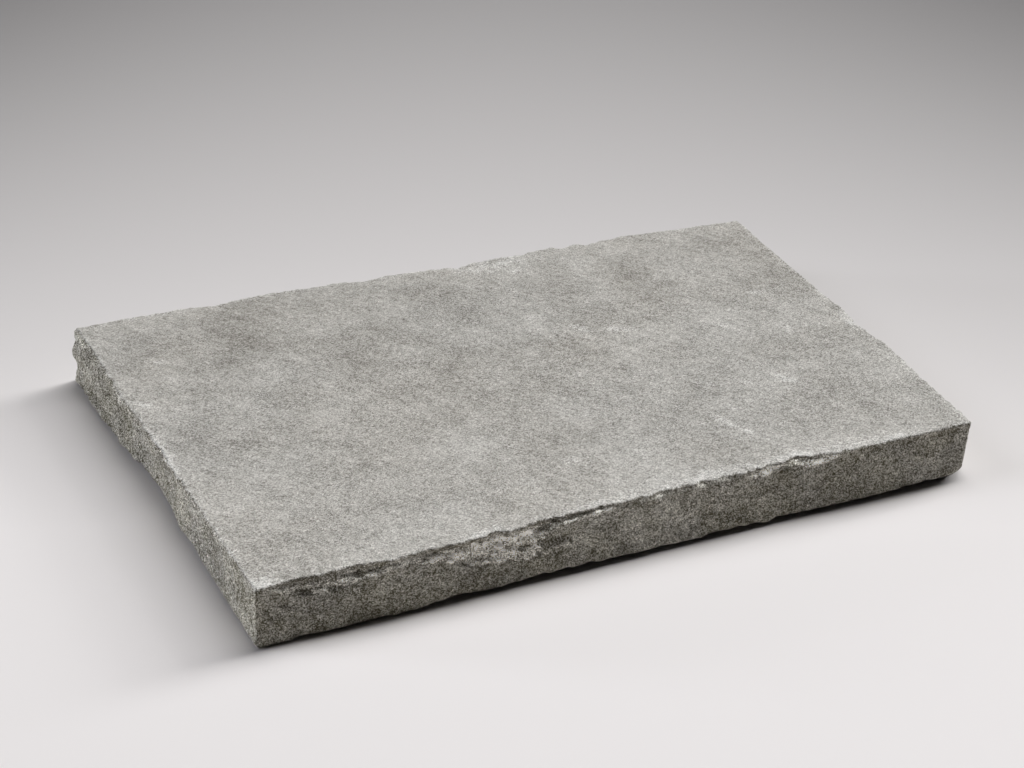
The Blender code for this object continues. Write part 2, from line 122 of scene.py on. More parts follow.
# %% Spalls under the top arris
# Height of the steep riser at the back of the spall
RISER_HEIGHT = {
    "front": [(0, 1), (15, 3), (40, 5), (80, 4.5), (130, 4), (150, 5), (166, 6), (188, 4.5),
              (202, 5.5), (226, 4), (263, 2.5), (290, 2), (310, 1), (395, 1), (410, 1.6), (475, 1.4),
              (490, 1), (600, 1)],
    "right": [(0, 1), (155, 1), (175, 2), (200, 1), (426, 1)],
    "back": [(0, 1), (200, 1), (300, 3), (470, 2), (520, 1), (626, 1)],
    "left": [(0, 1), (220, 1), (240, 2), (260, 1), (460, 1)],
}
# How far that riser leans in under the arris
RISER_LEAN = {
    "front": [(0, 0), (30, 1), (110, 1), (140, 1.5), (170, 3), (250, 3), (280, 1.5), (330, 1),
              (430, 1), (480, 0.5), (500, 0), (600, 0)],
    "right": [(0, 0), (426, 0)],
    "back": [(0, 0), (280, 0), (330, 1), (430, 1), (480, 0), (626, 0)],
    "left": [(0, 0), (460, 0)],
}
# Height of the rim where the spall's sloping shelf runs out into the wall
RIM_HEIGHT = {
    "front": [(0, 49), (8, 48), (26, 39), (39, 35.7), (50, 34.3), (59, 34.7), (72, 36.3), (84, 38.5),
              (98, 40.2), (108, 41.9), (119, 41.8), (130, 40.1), (140, 38), (154, 33), (166, 27.6),
              (179, 26.5), (190, 25), (204, 22), (216, 20), (222, 23), (228, 39), (236, 43.5), (246, 44.2),
              (254, 45.5), (262, 47), (285, 46), (305, 45), (326, 46), (345, 46), (385, 47.5), (399, 46.5),
              (408, 41.8), (421, 43.8), (440, 45.5), (452, 42.2), (466, 42.2), (479, 45.8), (490, 48),
              (600, 48)],
    "right": [(0, 48), (155, 47), (175, 41), (195, 46), (426, 48)],
    "back": [(0, 48), (150, 46), (165, 38), (195, 42), (270, 47), (320, 36), (420, 32), (480, 44),
             (626, 48)],
    "left": [(0, 48), (222, 47), (240, 42), (262, 47), (460, 48)],
}
print("deepest rim of a spall at", min(value for _, value in RIM_HEIGHT["front"]), "mm above the floor")

# %% Broken lower arris, wear and paleness
# Height of the broken lower arris, and how deep it cuts under
LOWER_HEIGHT = {
    "front": [(0, 1), (27, 1.2), (33, 3), (50, 1.8), (87, 1.4), (94, 3.4), (106, 1.4), (119, 2.2),
              (137, 4), (155, 5.3), (183, 3.2), (194, 4.4), (206, 3.8), (226, 5.9), (267, 5.8),
              (325, 4.6), (358, 3.7), (369, 5.2), (395, 5.3), (418, 3.9), (428, 5.8), (433, 4.9),
              (462, 4.3), (500, 3.7), (537, 4.5), (569, 5.8), (590, 7), (600, 6)],
    "right": [(0, 5), (30, 3), (200, 2), (330, 4), (426, 2)],
    "back": [(0, 2), (150, 3), (240, 5), (330, 2), (500, 4), (626, 2)],
    "left": [(0, 2), (100, 2.5), (190, 4), (250, 4), (300, 3), (460, 2)],
}
LOWER_DEPTH = {
    "front": [(0, 2), (30, 7), (110, 10), (150, 14), (430, 14), (540, 12), (600, 5)],
    "right": [(0, 5), (60, 4), (250, 2.5), (426, 2)],
    "back": [(0, 2), (240, 6), (400, 3), (626, 2)],
    "left": [(0, 4), (100, 6), (190, 9), (250, 9), (300, 6), (460, 4)],
}
ARRIS_BLUNT = 1.0  # mm lost from the top arris by wear
# How ragged the top arris is, in mm
ARRIS_RAGGED = {
    "front": [(0, 1.2), (120, 1.4), (150, 2.2), (280, 2.2), (380, 1.8), (410, 2.4), (480, 2), (510, 1.3),
              (600, 1.2)],
    "right": [(0, 1), (150, 1.2), (210, 1.8), (240, 1.2), (426, 1)],
    "back": [(0, 0.8), (150, 1.8), (300, 2), (500, 1.6), (626, 0.8)],
    "left": [(0, 1), (150, 0.7), (210, 2), (290, 1.5), (350, 0.7), (460, 0.8)],
}
# How much paler the fresh break is than the old wall: 0 is the same, 1 is the palest
PALENESS = {
    "front": [(0, 0.1), (25, 0.52), (110, 0.56), (130, 0.65), (150, 0.95), (270, 0.95), (290, 0.4),
              (395, 0.5), (405, 0.75), (470, 0.75), (482, 0.5), (560, 0.5), (600, 0.2)],
    "right": [(0, 0.3), (426, 0.3)],
    "back": [(0, 0.3), (300, 0.7), (480, 0.7), (626, 0.3)],
    "left": [(0, 0.4), (210, 0.4), (240, 0.9), (280, 0.4), (460, 0.4)],
}
print("cut under the front: up to", max(value for _, value in LOWER_DEPTH["front"]), "mm")

# %% [markdown]
# ## The columns
#
# The skin of the four sides is a grid: columns run round the slab and rows run down from the top
# arris. With a column every 1.5 mm the chips keep their sharp corners, and what is finer is left
# to the pattern of the stone. Each column knows its side and its place along that side.

# %% Columns round the slab
COLUMNS_ALONG = 400
COLUMNS_ACROSS = 288
SIDE_ROWS = 36
SIDES = [("front", COLUMNS_ALONG, FRONT_LENGTH), ("right", COLUMNS_ACROSS, RIGHT_WIDTH),
         ("back", COLUMNS_ALONG, BACK_LENGTH), ("left", COLUMNS_ACROSS, LEFT_WIDTH)]


def along(table):
    """The stations' values at every column, joined round the slab, in metres.

    value(s) = straight blend between the two stations on either side of s.
    """
    parts = []
    for name, count, length in SIDES:
        place = np.arange(count) / count * length / MM
        parts.append(np.interp(place, *np.transpose(table[name])))
    return np.concatenate(parts) * MM


def shares_along(table):
    """The same for a table of shares, which have no unit."""
    return along(table) / MM


COLUMNS = 2 * (COLUMNS_ALONG + COLUMNS_ACROSS)
SIDE_OF_COLUMN = np.repeat([name for name, _, _ in SIDES], [count for _, count, _ in SIDES])
PLACE_OF_COLUMN = np.concatenate([np.arange(count) / count * length for _, count, length in SIDES])
print("columns:", COLUMNS, "rows:", SIDE_ROWS + 1)

# %% [markdown]
# ## Lumps
#
# Broken stone is rough at every scale, so one function makes smooth random lumps of a given size.
# It fills a lattice with random values and blends between them, which is enough here, quick as
# whole arrays, and the same each run because the seed is fixed. The lattice is turned at random
# so that its rows never line up with the slab.

# %% Lumps of a given size
NOISE_CELLS = 24


def lumps(points, size, seed):
    """Smooth noise from -1 to 1.

    n(p) = sum over a cell's 8 corners of value(corner) * product of s or 1 - s,
    with s = 3t^2 - 2t^3 and t = the place inside the cell, for a cell of the given size.
    """
    rng = np.random.default_rng(seed)
    table = rng.uniform(-1, 1, (NOISE_CELLS,) * 3)
    turn = np.linalg.qr(rng.normal(size=(3, 3)))[0]
    spot = points @ turn / size + 100
    cell = np.floor(spot).astype(int)
    share = spot - cell
    share = share * share * (3 - 2 * share)
    total = 0
    for corner in np.ndindex(2, 2, 2):
        weight = np.where(corner, share, 1 - share).prod(-1)
        i, j, k = np.moveaxis((cell + corner) % NOISE_CELLS, -1, 0)
        total = total + weight * table[i, j, k]
    return total


def wander(points, layers):
    """The sum of strength * lumps over layers of (size in mm, strength, seed)."""
    return sum(strength * lumps(points, size * MM, seed) for size, strength, seed in layers)


def rising(value, start, width):
    """clip((value - start) / width, 0, 1): 0 up to the start, and 1 from the start plus the width."""
    return np.clip((value - start) / width, 0, 1)


sample = lumps(np.linspace((0, 0, 0), (1, 1, 1), 500), 10 * MM, 1)
print("lumps along a metre: from", round(sample.min(), 2), "to", round(sample.max(), 2))

# %% [markdown]
# ## The profile of a side
#
# Seen from its end, the chipped side is a chain of straight lines: the blunted arris, the steep
# riser at the back of the spall, its sloping shelf, the rim, the plain wall below and the broken
# foot. It could be cut with Boolean shapes, but a chain whose points move along the edge gives
# the same ledges with evenly spaced faces and no slivers. The shelf breaks in small terraces,
# because the stone splits along its bedding.

# %% Chain of six points at each column
# Lumps along the edge: size in mm, strength, seed
RAGGED_LUMPS = [(2.8, 0.7, 3), (6.5, 0.6, 4)]
BLUNT_LUMPS = [(6, 0.4, 5), (2.9, 0.4, 2)]
RISER_LUMPS = [(5, 0.25, 6)]
RIM_LUMPS = [(6, 1.2, 7)]
LOWER_LUMPS = [(7, 0.15, 8)]
LEAST_RISER = 1.2  # times the blunting above it
RIM_BELOW_RISER = 1.3  # times the riser, down from the top


def chain(plan):
    """Depths and heights of the six points at each column, from the top arris to the foot."""
    ragged = wander(plan, RAGGED_LUMPS) * along(ARRIS_RAGGED)
    recess = along(ARRIS_RECESS) - along(WALL_BOW) + ragged
    blunt = (ARRIS_BLUNT + wander(plan, BLUNT_LUMPS)) * MM
    riser = along(RISER_HEIGHT) * (1 + wander(plan, RISER_LUMPS))
    riser = np.maximum(riser, LEAST_RISER * blunt)
    rim = along(RIM_HEIGHT) + MM * wander(plan, RIM_LUMPS)
    rim = np.minimum(rim, THICKNESS - RIM_BELOW_RISER * riser)
    foot = along(LOWER_HEIGHT) * (1 + wander(plan, LOWER_LUMPS))
    zero = np.zeros_like(foot)
    depths = np.stack([recess + blunt, recess, recess + along(RISER_LEAN), zero, zero, along(LOWER_DEPTH)])
    heights = np.stack([zero + THICKNESS, THICKNESS - blunt, THICKNESS - riser, rim, foot, zero])
    return depths, heights


# %% Rows down the chain, with terraces on the shelf
SHELF = 2  # the third straight piece of the chain
TERRACES = 3.5
TERRACE_LEVEL = 0.55  # share of each terrace that lies level
TERRACE_SHARE = 0.75  # the rest of the fall is an even slope
TERRACE_LUMPS = [(25, 0.8, 9), (8, 0.4, 10)]


def terraced(share, place):
    """Steps on a slope: s becomes (floor(q) + smooth(fraction(q))) / n, with q = n s + place."""
    q = TERRACES * share + place
    step = np.floor(q)
    part = rising(q - step, TERRACE_LEVEL, 1 - TERRACE_LEVEL)
    smooth = part * part * (3 - 2 * part)
    return np.clip((step + smooth - place) / TERRACES, 0, 1)


def spread_rows(depths, heights, place):
    """Depths and heights of rows spread evenly down each column's chain.

    A row at the length r down the chain has gone s = clip((r - start) / length, 0, 1) of each
    straight piece, and each piece adds s times its fall.
    """
    run = np.hypot(np.diff(depths, axis=0), np.diff(heights, axis=0))
    reach = np.concatenate([np.zeros_like(run[:1]), np.cumsum(run, axis=0)])
    goal = np.linspace(0, 1, SIDE_ROWS + 1)[:, None] * reach[-1]
    depth = np.repeat(depths[:1], SIDE_ROWS + 1, axis=0)
    height = np.repeat(heights[:1], SIDE_ROWS + 1, axis=0)
    for piece in range(len(run)):
        share = np.clip((goal - reach[piece]) / np.maximum(run[piece], 1e-9), 0, 1)
        height = height + share * (heights[piece + 1] - heights[piece])
        if piece == SHELF:
            share = (1 - TERRACE_SHARE) * share + TERRACE_SHARE * terraced(share, place)
        depth = depth + share * (depths[piece + 1] - depths[piece])
    return depth, height


# %% Bow of the wall, and what each spot of it is
BOW_LOST = 0.25  # share of the bow that is lost towards the top and the foot
ARRIS_LEVEL = 0.999  # share of the thickness above which a point is on the top arris
FOOT_CURVE = 1.5
SPALL_START = 1.2 * MM  # a rim this far below the top begins to be a spall
SPALL_WIDTH = 3 * MM
LIP_START = 0.4 * MM
LIP_WIDTH = 0.8 * MM
FRESH_ON_SHADED_RISER = 0.1  # little of the fresh paleness on the riser, which is kept dark as painted shade under the arris
RIM_REACH = 4  # mm above and below the rim that are told apart
FOOT_REACH = 3
LEDGE = 3.1 * MM  # from one split layer to the next
SPLIT_LEAN = 0.7


def bowed(depth, height):
    """depth + bow (1 - 0.25 (2u - 1)^2) + foot (1 - u)^1.5, with u = height / thickness.

    The top arris is traced by itself, so it gets back the whole bow that its recess left out.
    """
    up = height / THICKNESS
    bow = along(WALL_BOW)
    bulge = bow * (1 - BOW_LOST * (2 * up - 1) ** 2)
    return depth + np.where(up > ARRIS_LEVEL, bow, bulge) + along(FOOT_RECESS) * (1 - up) ** FOOT_CURVE


def wall_parts(depth, height, heights):
    """How fresh a break each spot is, and whether it lies on the lip under the arris, which gets painted
    shade.

    Then how many mm it is above the rim, how many split layers in, and how many mm below the foot
    of the wall. The distances run through 0, so a line can be drawn sharply between two rows.
    """
    riser_foot, rim, foot = heights[2:5]
    below_riser = rising(riser_foot - height, 0, MM)
    spalled = rising(THICKNESS - rim, SPALL_START, SPALL_WIDTH)
    fresh = (FRESH_ON_SHADED_RISER + (1 - FRESH_ON_SHADED_RISER) * below_riser) * spalled
    shaded_lip = (1 - below_riser) * spalled * rising(THICKNESS - height, LIP_START, LIP_WIDTH)
    above_rim = np.clip((height - rim) / MM, -RIM_REACH, RIM_REACH)
    ledge = (depth + SPLIT_LEAN * (THICKNESS - height)) / LEDGE
    under = np.clip((foot - height) / MM, -FOOT_REACH, FOOT_REACH)
    return fresh, shaded_lip, above_rim, ledge, under


# %% [markdown]
# ## The four sides
#
# The profile moves the straight plan inwards, each side square to itself, so neighbouring
# columns never cross and the skin can't cut itself. Near a corner both sides' depths count, or a
# thin fin would be left there. Lumps in several sizes then roughen the wall as a chisel does. On
# the fresh breaks they are creased and drawn out along the bedding, which gives flakes.

# %% Roughness of the walls: size in mm, height in mm, seed
SIDE_LUMPS = [(34, 0.9, 11), (15, 0.8, 12), (7, 0.55, 13)]  # shared with the solid
CRAGS = [(16, 1.0, 51), (9, 0.7, 52)]  # shared with the solid
CRUMBS = [(4.2, 0.55, 14), (2.7, 0.7, 15)]  # too fine for the solid
FLAKES = [(5.0, 1.1, 41), (3.0, 0.8, 42)]
FLAKE_STRETCH = 2.2
CREASE_SLOPE = 4
ARRIS_BAND = 0.125  # share of the thickness over which the roughness fades
AT_THE_ARRIS = 0.3  # what is left of it there
# Where the wall breaks into crags: 1 is craggy, 0 is not
CRAGGED = {
    "front": [(0, 0.15), (600, 0.15)],
    "right": [(0, 0.2), (200, 0.5), (426, 0.3)],
    "back": [(0, 0.4), (300, 0.6), (560, 0.7), (626, 1)],
    "left": [(0, 1.1), (120, 1), (180, 0.5), (240, 0.5), (300, 0.25), (460, 0.2)],
}
# Dents: mm along, mm up, half width, half height, degrees, depth in mm; a negative one is a lump
DENTS = {
    "front": [
        (7, 31, 2.2, 2, 0, 1.3), (20, 32, 2.6, 2, 0, 1.6), (13, 23, 2.2, 2.2, 0, 1.4),
        (24, 30, 2, 2, 0, 1.2), (38, 22, 2.6, 2.2, 0, 1.4), (163, 18, 3.5, 2.4, 0, 1),
        (243, 33, 17, 4.5, 0, 1.8), (237, 25, 15, 1.8, 0, -1), (181, 39, 7, 2.6, 0, 1.6),
        (135, 44.5, 6, 2, 0, 1.2), (150, 46.2, 5, 1.6, 0, 1.2), (547, 45, 5, 2.2, 0, 1.1),
        (583, 42, 3, 3, 0, 1.4), (300, 12, 4, 3, 0, 1), (452, 30, 3, 3, 0, 0.8),
    ],
    "left": [
        (18, 34, 10, 7, 0, -2.4), (30, 26, 6, 4, 0, 2), (52, 20, 14, 7, 0, -1.6),
        (88, 38, 8, 4, 0, 1.8), (128, 16, 16, 8, 0, -1.5), (250, 43, 14, 4, 0, 1.6),
        (10, 14, 5, 4, 0, 2.2), (45, 38, 5, 5, 0, 2), (66, 30, 4, 6, 0, 1.8), (110, 26, 5, 5, 0, 2),
        (74, 10, 6, 3, 0, 1.8), (160, 32, 6, 5, 0, 1.4),
    ],
}


def straight_plan():
    """The mean rectangle's outline, one point for each column."""
    x, y = LENGTH / 2, WIDTH / 2
    a = np.arange(COLUMNS_ALONG) / COLUMNS_ALONG * 2 - 1
    b = np.arange(COLUMNS_ACROSS) / COLUMNS_ACROSS * 2 - 1
    front = np.stack([a * x, 0 * a - y], axis=-1)
    right = np.stack([0 * b + x, b * y], axis=-1)
    return np.concatenate([front, right, -front, -right])


def creased(points, layers):
    """The sum of (1 - 4 |lumps|) * height over the layers: lumps with sharp creases, in metres."""
    return MM * sum((1 - CREASE_SLOPE * abs(lumps(points, size * MM, seed))) * tall
                    for size, tall, seed in layers)


# %% Marks on the front side: mm along, mm up, half length, half height, degrees, strength
PALE_MARKS_AND_HIGHLIGHTS = [  # pale crumbs of fresh stone, and painted highlights where ridges and rims catch the light
    (205, 43.5, 15, 3.4, 4, 0.6), (215, 23.5, 12, 1.7, 0, 0.7), (236, 42, 10, 2.6, 6, 0.4),
    (62, 39.5, 12, 1.5, 3, 0.35), (95, 41, 12, 1.5, 3, 0.35), (134, 39, 13, 1.3, -6, 0.4),
    (254, 30, 10, 4, 0, 0.35), (264, 37.5, 17, 4.2, 4, 0.3), (262, 46.2, 24, 2.6, 0, 0.28),
    (350, 20, 70, 25, 0, 0.1), (242, 25.6, 13, 1.5, -4, 0.45), (190, 26, 10, 1.4, -10, 0.3),
    (118, 27, 10, 2.6, 20, 0.22), (12, 10, 14, 5, 0, 0.14), (350, 30, 14, 3, 60, 0.14),
    (300, 22, 8, 5, 70, 0.14), (330, 34, 9, 3, 40, 0.16), (591, 41, 5, 6, 0, 0.25),
    (270, 47.3, 20, 2.0, 0, 0.35), (418, 47.5, 12, 1.6, 14, 0.5), (460, 44.6, 13, 1.5, 12, 0.5),
]
DARK_MARKS_AND_SHADE = [  # old stone, and painted shade in hollows and under the arris
    (100, 15, 55, 14, 0, -0.25), (128, 33, 22, 4.5, -4, -0.4), (70, 44.5, 45, 2.2, -2, -0.3),
    (530, 20, 60, 25, 0, -0.1), (135, 44.6, 6, 2, 10, -0.6), (150, 46.8, 5, 1.6, 10, -0.6),
    (181, 39, 7, 2.4, 0, -0.45), (512, 46.2, 14, 2.2, 4, -0.9), (546, 45.6, 9, 2.4, 0, -0.9),
    (577, 45, 14, 3, 0, -1.3), (330, 46.5, 40, 1.8, 0, -0.5),
]
FAR_OFF = 9999  # mm, for the columns of another side


def soft_spots(x, y, spots):
    """The sum of strength * exp(-(u / a)^2 - (v / b)^2), u and v along and across each spot, in mm."""
    total = np.zeros(np.broadcast(x, y).shape)
    for middle_x, middle_y, long, wide, degrees, strength in spots:
        cos, sin = math.cos(math.radians(degrees)), math.sin(math.radians(degrees))
        u = (x - middle_x) * cos + (y - middle_y) * sin
        v = (y - middle_y) * cos - (x - middle_x) * sin
        total += strength * np.exp(-(u / long) ** 2 - (v / wide) ** 2)
    return total


def wall_spots(height, spots):
    """The soft spots listed for each side; for them the columns of the other sides are far off."""
    total = np.zeros_like(height)
    for name, own_spots in spots.items():
        place = np.where(SIDE_OF_COLUMN == name, PLACE_OF_COLUMN / MM, FAR_OFF)
        total += soft_spots(place, height / MM, own_spots)
    return total


# %% Depth of the walls
CORNER_BLEND = 9 * MM
DEEPEST, HIGHEST = -1.3, 1.5  # mm: hollows and bumps past these look alike
LIP_SHADE = 1.6  # mm: the lip under the arris gets painted shade as dark as a hollow this deep
DARKEST_LIP_SHADE = -1.9


def moved_inwards(plan, depth):
    """Each column moved square to its side, and near a corner also by the other side's depth.

    p = plan + depth n + w(s) depth' n', with w falling from 1 to 0 within the blend length s.
    """
    ways = np.array([(0, 1), (-1, 0), (0, -1), (1, 0)])
    spots = np.repeat(plan[None], len(depth), axis=0)
    starts = np.cumsum([0] + [count for _, count, _ in SIDES])
    for side, (_, count, length) in enumerate(SIDES):
        own = slice(starts[side], starts[side + 1])
        place = np.arange(count) / count * length
        spots[:, own] += depth[:, own, None] * ways[side]
        for gap, other, column in ((place, side - 1, starts[side] - 1),
                                   (length - place, (side + 1) % 4, starts[side + 1] % COLUMNS)):
            share = np.clip(1 - gap / CORNER_BLEND, 0, 1)
            share = share * share * (3 - 2 * share)
            spots[:, own] += (share * depth[:, [column]])[..., None] * ways[other]
    return spots


plan = straight_plan()
flat_plan = np.column_stack([plan, np.zeros(COLUMNS)])
depths, heights = chain(flat_plan)
depth, height = spread_rows(depths, heights, wander(flat_plan, TERRACE_LUMPS))
fresh, shaded_lip, above_rim, ledge, under = wall_parts(depth, height, heights)
depth = bowed(depth, height)
print("smooth walls:", depth.shape, "deepest cut in mm:", round(depth.max() / MM, 1))

# %% Lumps, crags, crumbs, flakes and dents
flat = np.dstack([*np.broadcast_arrays(plan[:, 0], plan[:, 1], height)])
crags = creased(flat, CRAGS) * shares_along(CRAGGED)
crumbs = MM * wander(flat, CRUMBS)
flaked = fresh * np.clip(above_rim + 0.5, 0, 1) * np.sqrt(shares_along(PALENESS))
flakes = creased(flat / [FLAKE_STRETCH, FLAKE_STRETCH, 1], FLAKES) * flaked
pits = MM * wall_spots(height, DENTS)
# Painted dirt and shade: the tone darkens in hollows and pits and pales on bumps.
hollow = np.clip((crumbs + flakes + crags - np.maximum(pits, 0)) / MM, DEEPEST, HIGHEST)
# The lip under the arris gets painted shade, as dark as a deep hollow.
hollow = np.maximum(hollow - LIP_SHADE * shaded_lip, DARKEST_LIP_SHADE)
up = height / THICKNESS
rough = AT_THE_ARRIS + (1 - AT_THE_ARRIS) * rising(np.minimum(up, 1 - up), 0, ARRIS_BAND)
depth = depth - (MM * wander(flat, SIDE_LUMPS) + crags + crumbs + flakes) * rough + pits
walls = np.dstack([moved_inwards(plan, depth), height])
print("rough walls: hollows from", round(hollow.min(), 1), "to", round(hollow.max(), 1), "mm")

# %% [markdown]
# ## Top and underside
#
# Rings of points carry the chipped edge inwards. Every so often a ring has half as many points,
# so that the middle is a plain lattice with larger faces: the top needs its fine faces only
# where it is chipped. The top's riven relief is under half a millimetre, so it is added to the
# height of the points that are already there.

# %% Closing an end
TOP_RIM = 40 * MM


def strip(upper, lower):
    """Quads between two closed loops of point numbers."""
    return np.stack([upper, np.roll(upper, -1), np.roll(lower, -1), lower], axis=-1).tolist()


def halving(fine, coarse):
    """Triangles between a closed loop and one with half as many points."""
    first, middle = fine[0::2], fine[1::2]
    after, following = np.roll(first, -1), np.roll(coarse, -1)
    wedges = [(first, middle, coarse), (middle, following, coarse), (middle, after, following)]
    return [face for wedge in wedges for face in np.stack(wedge, axis=-1).tolist()]


def cap(edge, edge_ids, number, rings):
    """Closes one end with the given rings, (share of the rim, halve or not), and a lattice.

    Returns the points, how far in from the edge each lies, and the faces.
    """
    inner = plan * [1 - 2 * TOP_RIM / LENGTH, 1 - 2 * TOP_RIM / WIDTH]
    points, gaps, faces, loop, step = [], [], [], edge_ids, 1
    for share, halve in rings:
        step *= 2 if halve else 1
        ring = edge[::step, :2] * (1 - share) + inner[::step] * share
        ids = np.arange(len(ring)) + number
        faces += halving(loop, ids) if halve else strip(loop, ids)
        points.append(ring)
        gaps.append(np.full(len(ring), share * TOP_RIM))
        number += len(ring)
        loop = ids
    cells_x, cells_y = COLUMNS_ALONG // step, COLUMNS_ACROSS // step
    x = np.linspace(-1, 1, cells_x + 1) * (LENGTH / 2 - TOP_RIM)
    y = np.linspace(-1, 1, cells_y + 1) * (WIDTH / 2 - TOP_RIM)
    grid = np.stack(np.meshgrid(x, y), axis=-1)
    ids = np.arange(grid.shape[0] * grid.shape[1]).reshape(grid.shape[:2]) + number
    border = np.concatenate([ids[0, :-1], ids[:-1, -1], ids[-1, :0:-1], ids[:0:-1, 0]])
    faces += strip(loop, border)
    faces += np.stack([ids[:-1, :-1], ids[:-1, 1:], ids[1:, 1:], ids[1:, :-1]], -1).reshape(-1, 4).tolist()
    points.append(grid.reshape(-1, 2))
    gaps.append(np.full(ids.size, TOP_RIM))
    return np.concatenate(points), np.concatenate(gaps), faces


TOP_RINGS = [(0.03, False), (0.08, False), (0.16, False), (0.26, True), (0.5, False), (0.75, False)]
BASE_RINGS = [(0.05, False), (0.15, True), (0.35, True), (0.6, True), (0.8, False)]
ids = np.arange(walls.shape[0] * COLUMNS).reshape(walls.shape[:2])
top_plan, top_gaps, top_faces = cap(walls[0], ids[0], ids.size, TOP_RINGS)
base_plan, _, base_faces = cap(walls[-1], ids[-1], ids.size + len(top_plan), BASE_RINGS)
side_faces = [face for upper, lower in zip(ids[:-1], ids[1:]) for face in strip(upper, lower)]
print("faces: sides", len(side_faces), "top", len(top_faces), "underside", len(base_faces))

# %% Riven relief of the top: size in mm, height in mm, seed
RIVEN_LUMPS = [(90, 0.22, 21), (38, 0.14, 22), (14, 0.07, 23), (6, 0.05, 24)]
RIVEN_HIGHEST = 0.4  # mm, which the top's own level stands for
RIVEN_FADE = 4  # the relief fades down the walls with this power of the height


def riven_relief(points):
    """Height of the riven top under its highest level, in metres, never above it."""
    relief = wander(points * [1, 1, 0], RIVEN_LUMPS)
    return (np.minimum(relief, RIVEN_HIGHEST) - RIVEN_HIGHEST) * MM


top_points = np.column_stack([top_plan, np.full(len(top_plan), THICKNESS)])
base_points = np.column_stack([base_plan, np.zeros(len(base_plan))])
points = np.concatenate([walls.reshape(-1, 3), top_points, base_points])
points[:, 2] += riven_relief(points) * (points[:, 2] / THICKNESS) ** RIVEN_FADE
print("top:", len(top_points), "points, underside:", len(base_points))

# %% [markdown]
# ## Out of square, and the knocked corners
#
# The mean rectangle is stretched to the four real side lengths. A corner that was knocked off is
# a flat break: whatever stands proud of its plane is pressed back onto it, which keeps the skin
# whole, where a Boolean cut would leave slivers.

# %% Real plan and corners
CORNER_PLACES = {
    "front left": (-FRONT_LENGTH / 2, -LEFT_WIDTH / 2),
    "front right": (FRONT_LENGTH / 2, -RIGHT_WIDTH / 2),
    "back right": (BACK_LENGTH / 2, RIGHT_WIDTH / 2),
    "back left": (-BACK_LENGTH / 2, LEFT_WIDTH / 2),
}
BROKEN_CORNERS = [  # corner, height on it, the way the break faces, its depth in mm
    ("front right", 0.0, (0.55, -0.40, -0.73), 11.0),
    ("front right", THICKNESS, (0.78, -0.60, -0.10), 0.8),
    ("front left", THICKNESS, (-0.70, -0.70, 0.05), 1.2),
    ("back left", THICKNESS, (-0.60, 0.62, 0.50), 1.2),
    ("back right", 0.0, (0.70, 0.66, -0.27), 6.0),
]
BREAK_ROUGHNESS = 0.4  # mm
BREAK_LUMP = 4 * MM
BREAK_SEED = 31


def out_of_square(points):
    """x times 1 + (back - front) y / (L W) and y times 1 + (right - left) x / (L W)."""
    x, y, z = points.T
    lengthwise = 1 + (BACK_LENGTH - FRONT_LENGTH) / LENGTH * y / WIDTH
    crosswise = 1 + (RIGHT_WIDTH - LEFT_WIDTH) / WIDTH * x / LENGTH
    return np.column_stack([x * lengthwise, y * crosswise, z])


def break_corners(points):
    """p becomes p - max((p - place) . n, 0) n for each break, whose plane is a little rough."""
    for seed, (corner, level, facing, deep) in enumerate(BROKEN_CORNERS, start=BREAK_SEED):
        normal = np.array(facing) / np.linalg.norm(facing)
        place = np.array([*CORNER_PLACES[corner], level]) - deep * MM * normal
        rough = lumps(points, BREAK_LUMP, seed) * BREAK_ROUGHNESS * MM
        beyond = np.maximum((points - place) @ normal + rough, 0)
        points = points - beyond[:, None] * normal
    return points


points = break_corners(out_of_square(points))
low, high = np.array(solid_box)
points = np.clip(points, low, high)
print("slab box in mm:", np.round(points.min(0) / MM, 1), np.round(points.max(0) / MM, 1))

# %% [markdown]
# ## Patches, painted light and scuffs on the top
#
# The top of the real slab has broad darker and paler patches, paler edges where it was rubbed,
# and a few pale scuffs and streaks that follow the split. A random pattern would put them
# anywhere, so each one is a soft ellipse given in a list, and a little noise frays its rim.

# %% Patches and scuffs: (x, y, half length, half width) in mm, direction in degrees, strength
# The patches are partly the stone's own blotches and partly painted light: the top is paler towards the
# front and darker towards the back.
PATCHES = [
    (-200, 130, 38, 20, 42, -0.16), (-188, 192, 34, 22, 0, -0.09), (-70, 112, 220, 75, -10, -0.05),
    (-5, 120, 70, 24, -80, -0.05), (35, -50, 70, 17, -70, -0.06), (168, 140, 55, 12, -50, -0.05),
    (255, 150, 80, 60, 0, -0.03), (70, 66, 70, 18, -63, 0.06), (82, 30, 24, 15, -60, 0.07),
    (150, 82, 60, 11, -68, 0.06), (270, 30, 44, 15, -55, 0.06), (160, -20, 120, 90, 0, 0.01),
    (-298, 0, 230, 16, 90, 0.07), (-190, -130, 140, 70, 0, 0.085), (-140, -212, 190, 30, 2, 0.09),
    (120, -200, 200, 26, 2, 0.08), (245, -120, 60, 22, 80, -0.03),
]
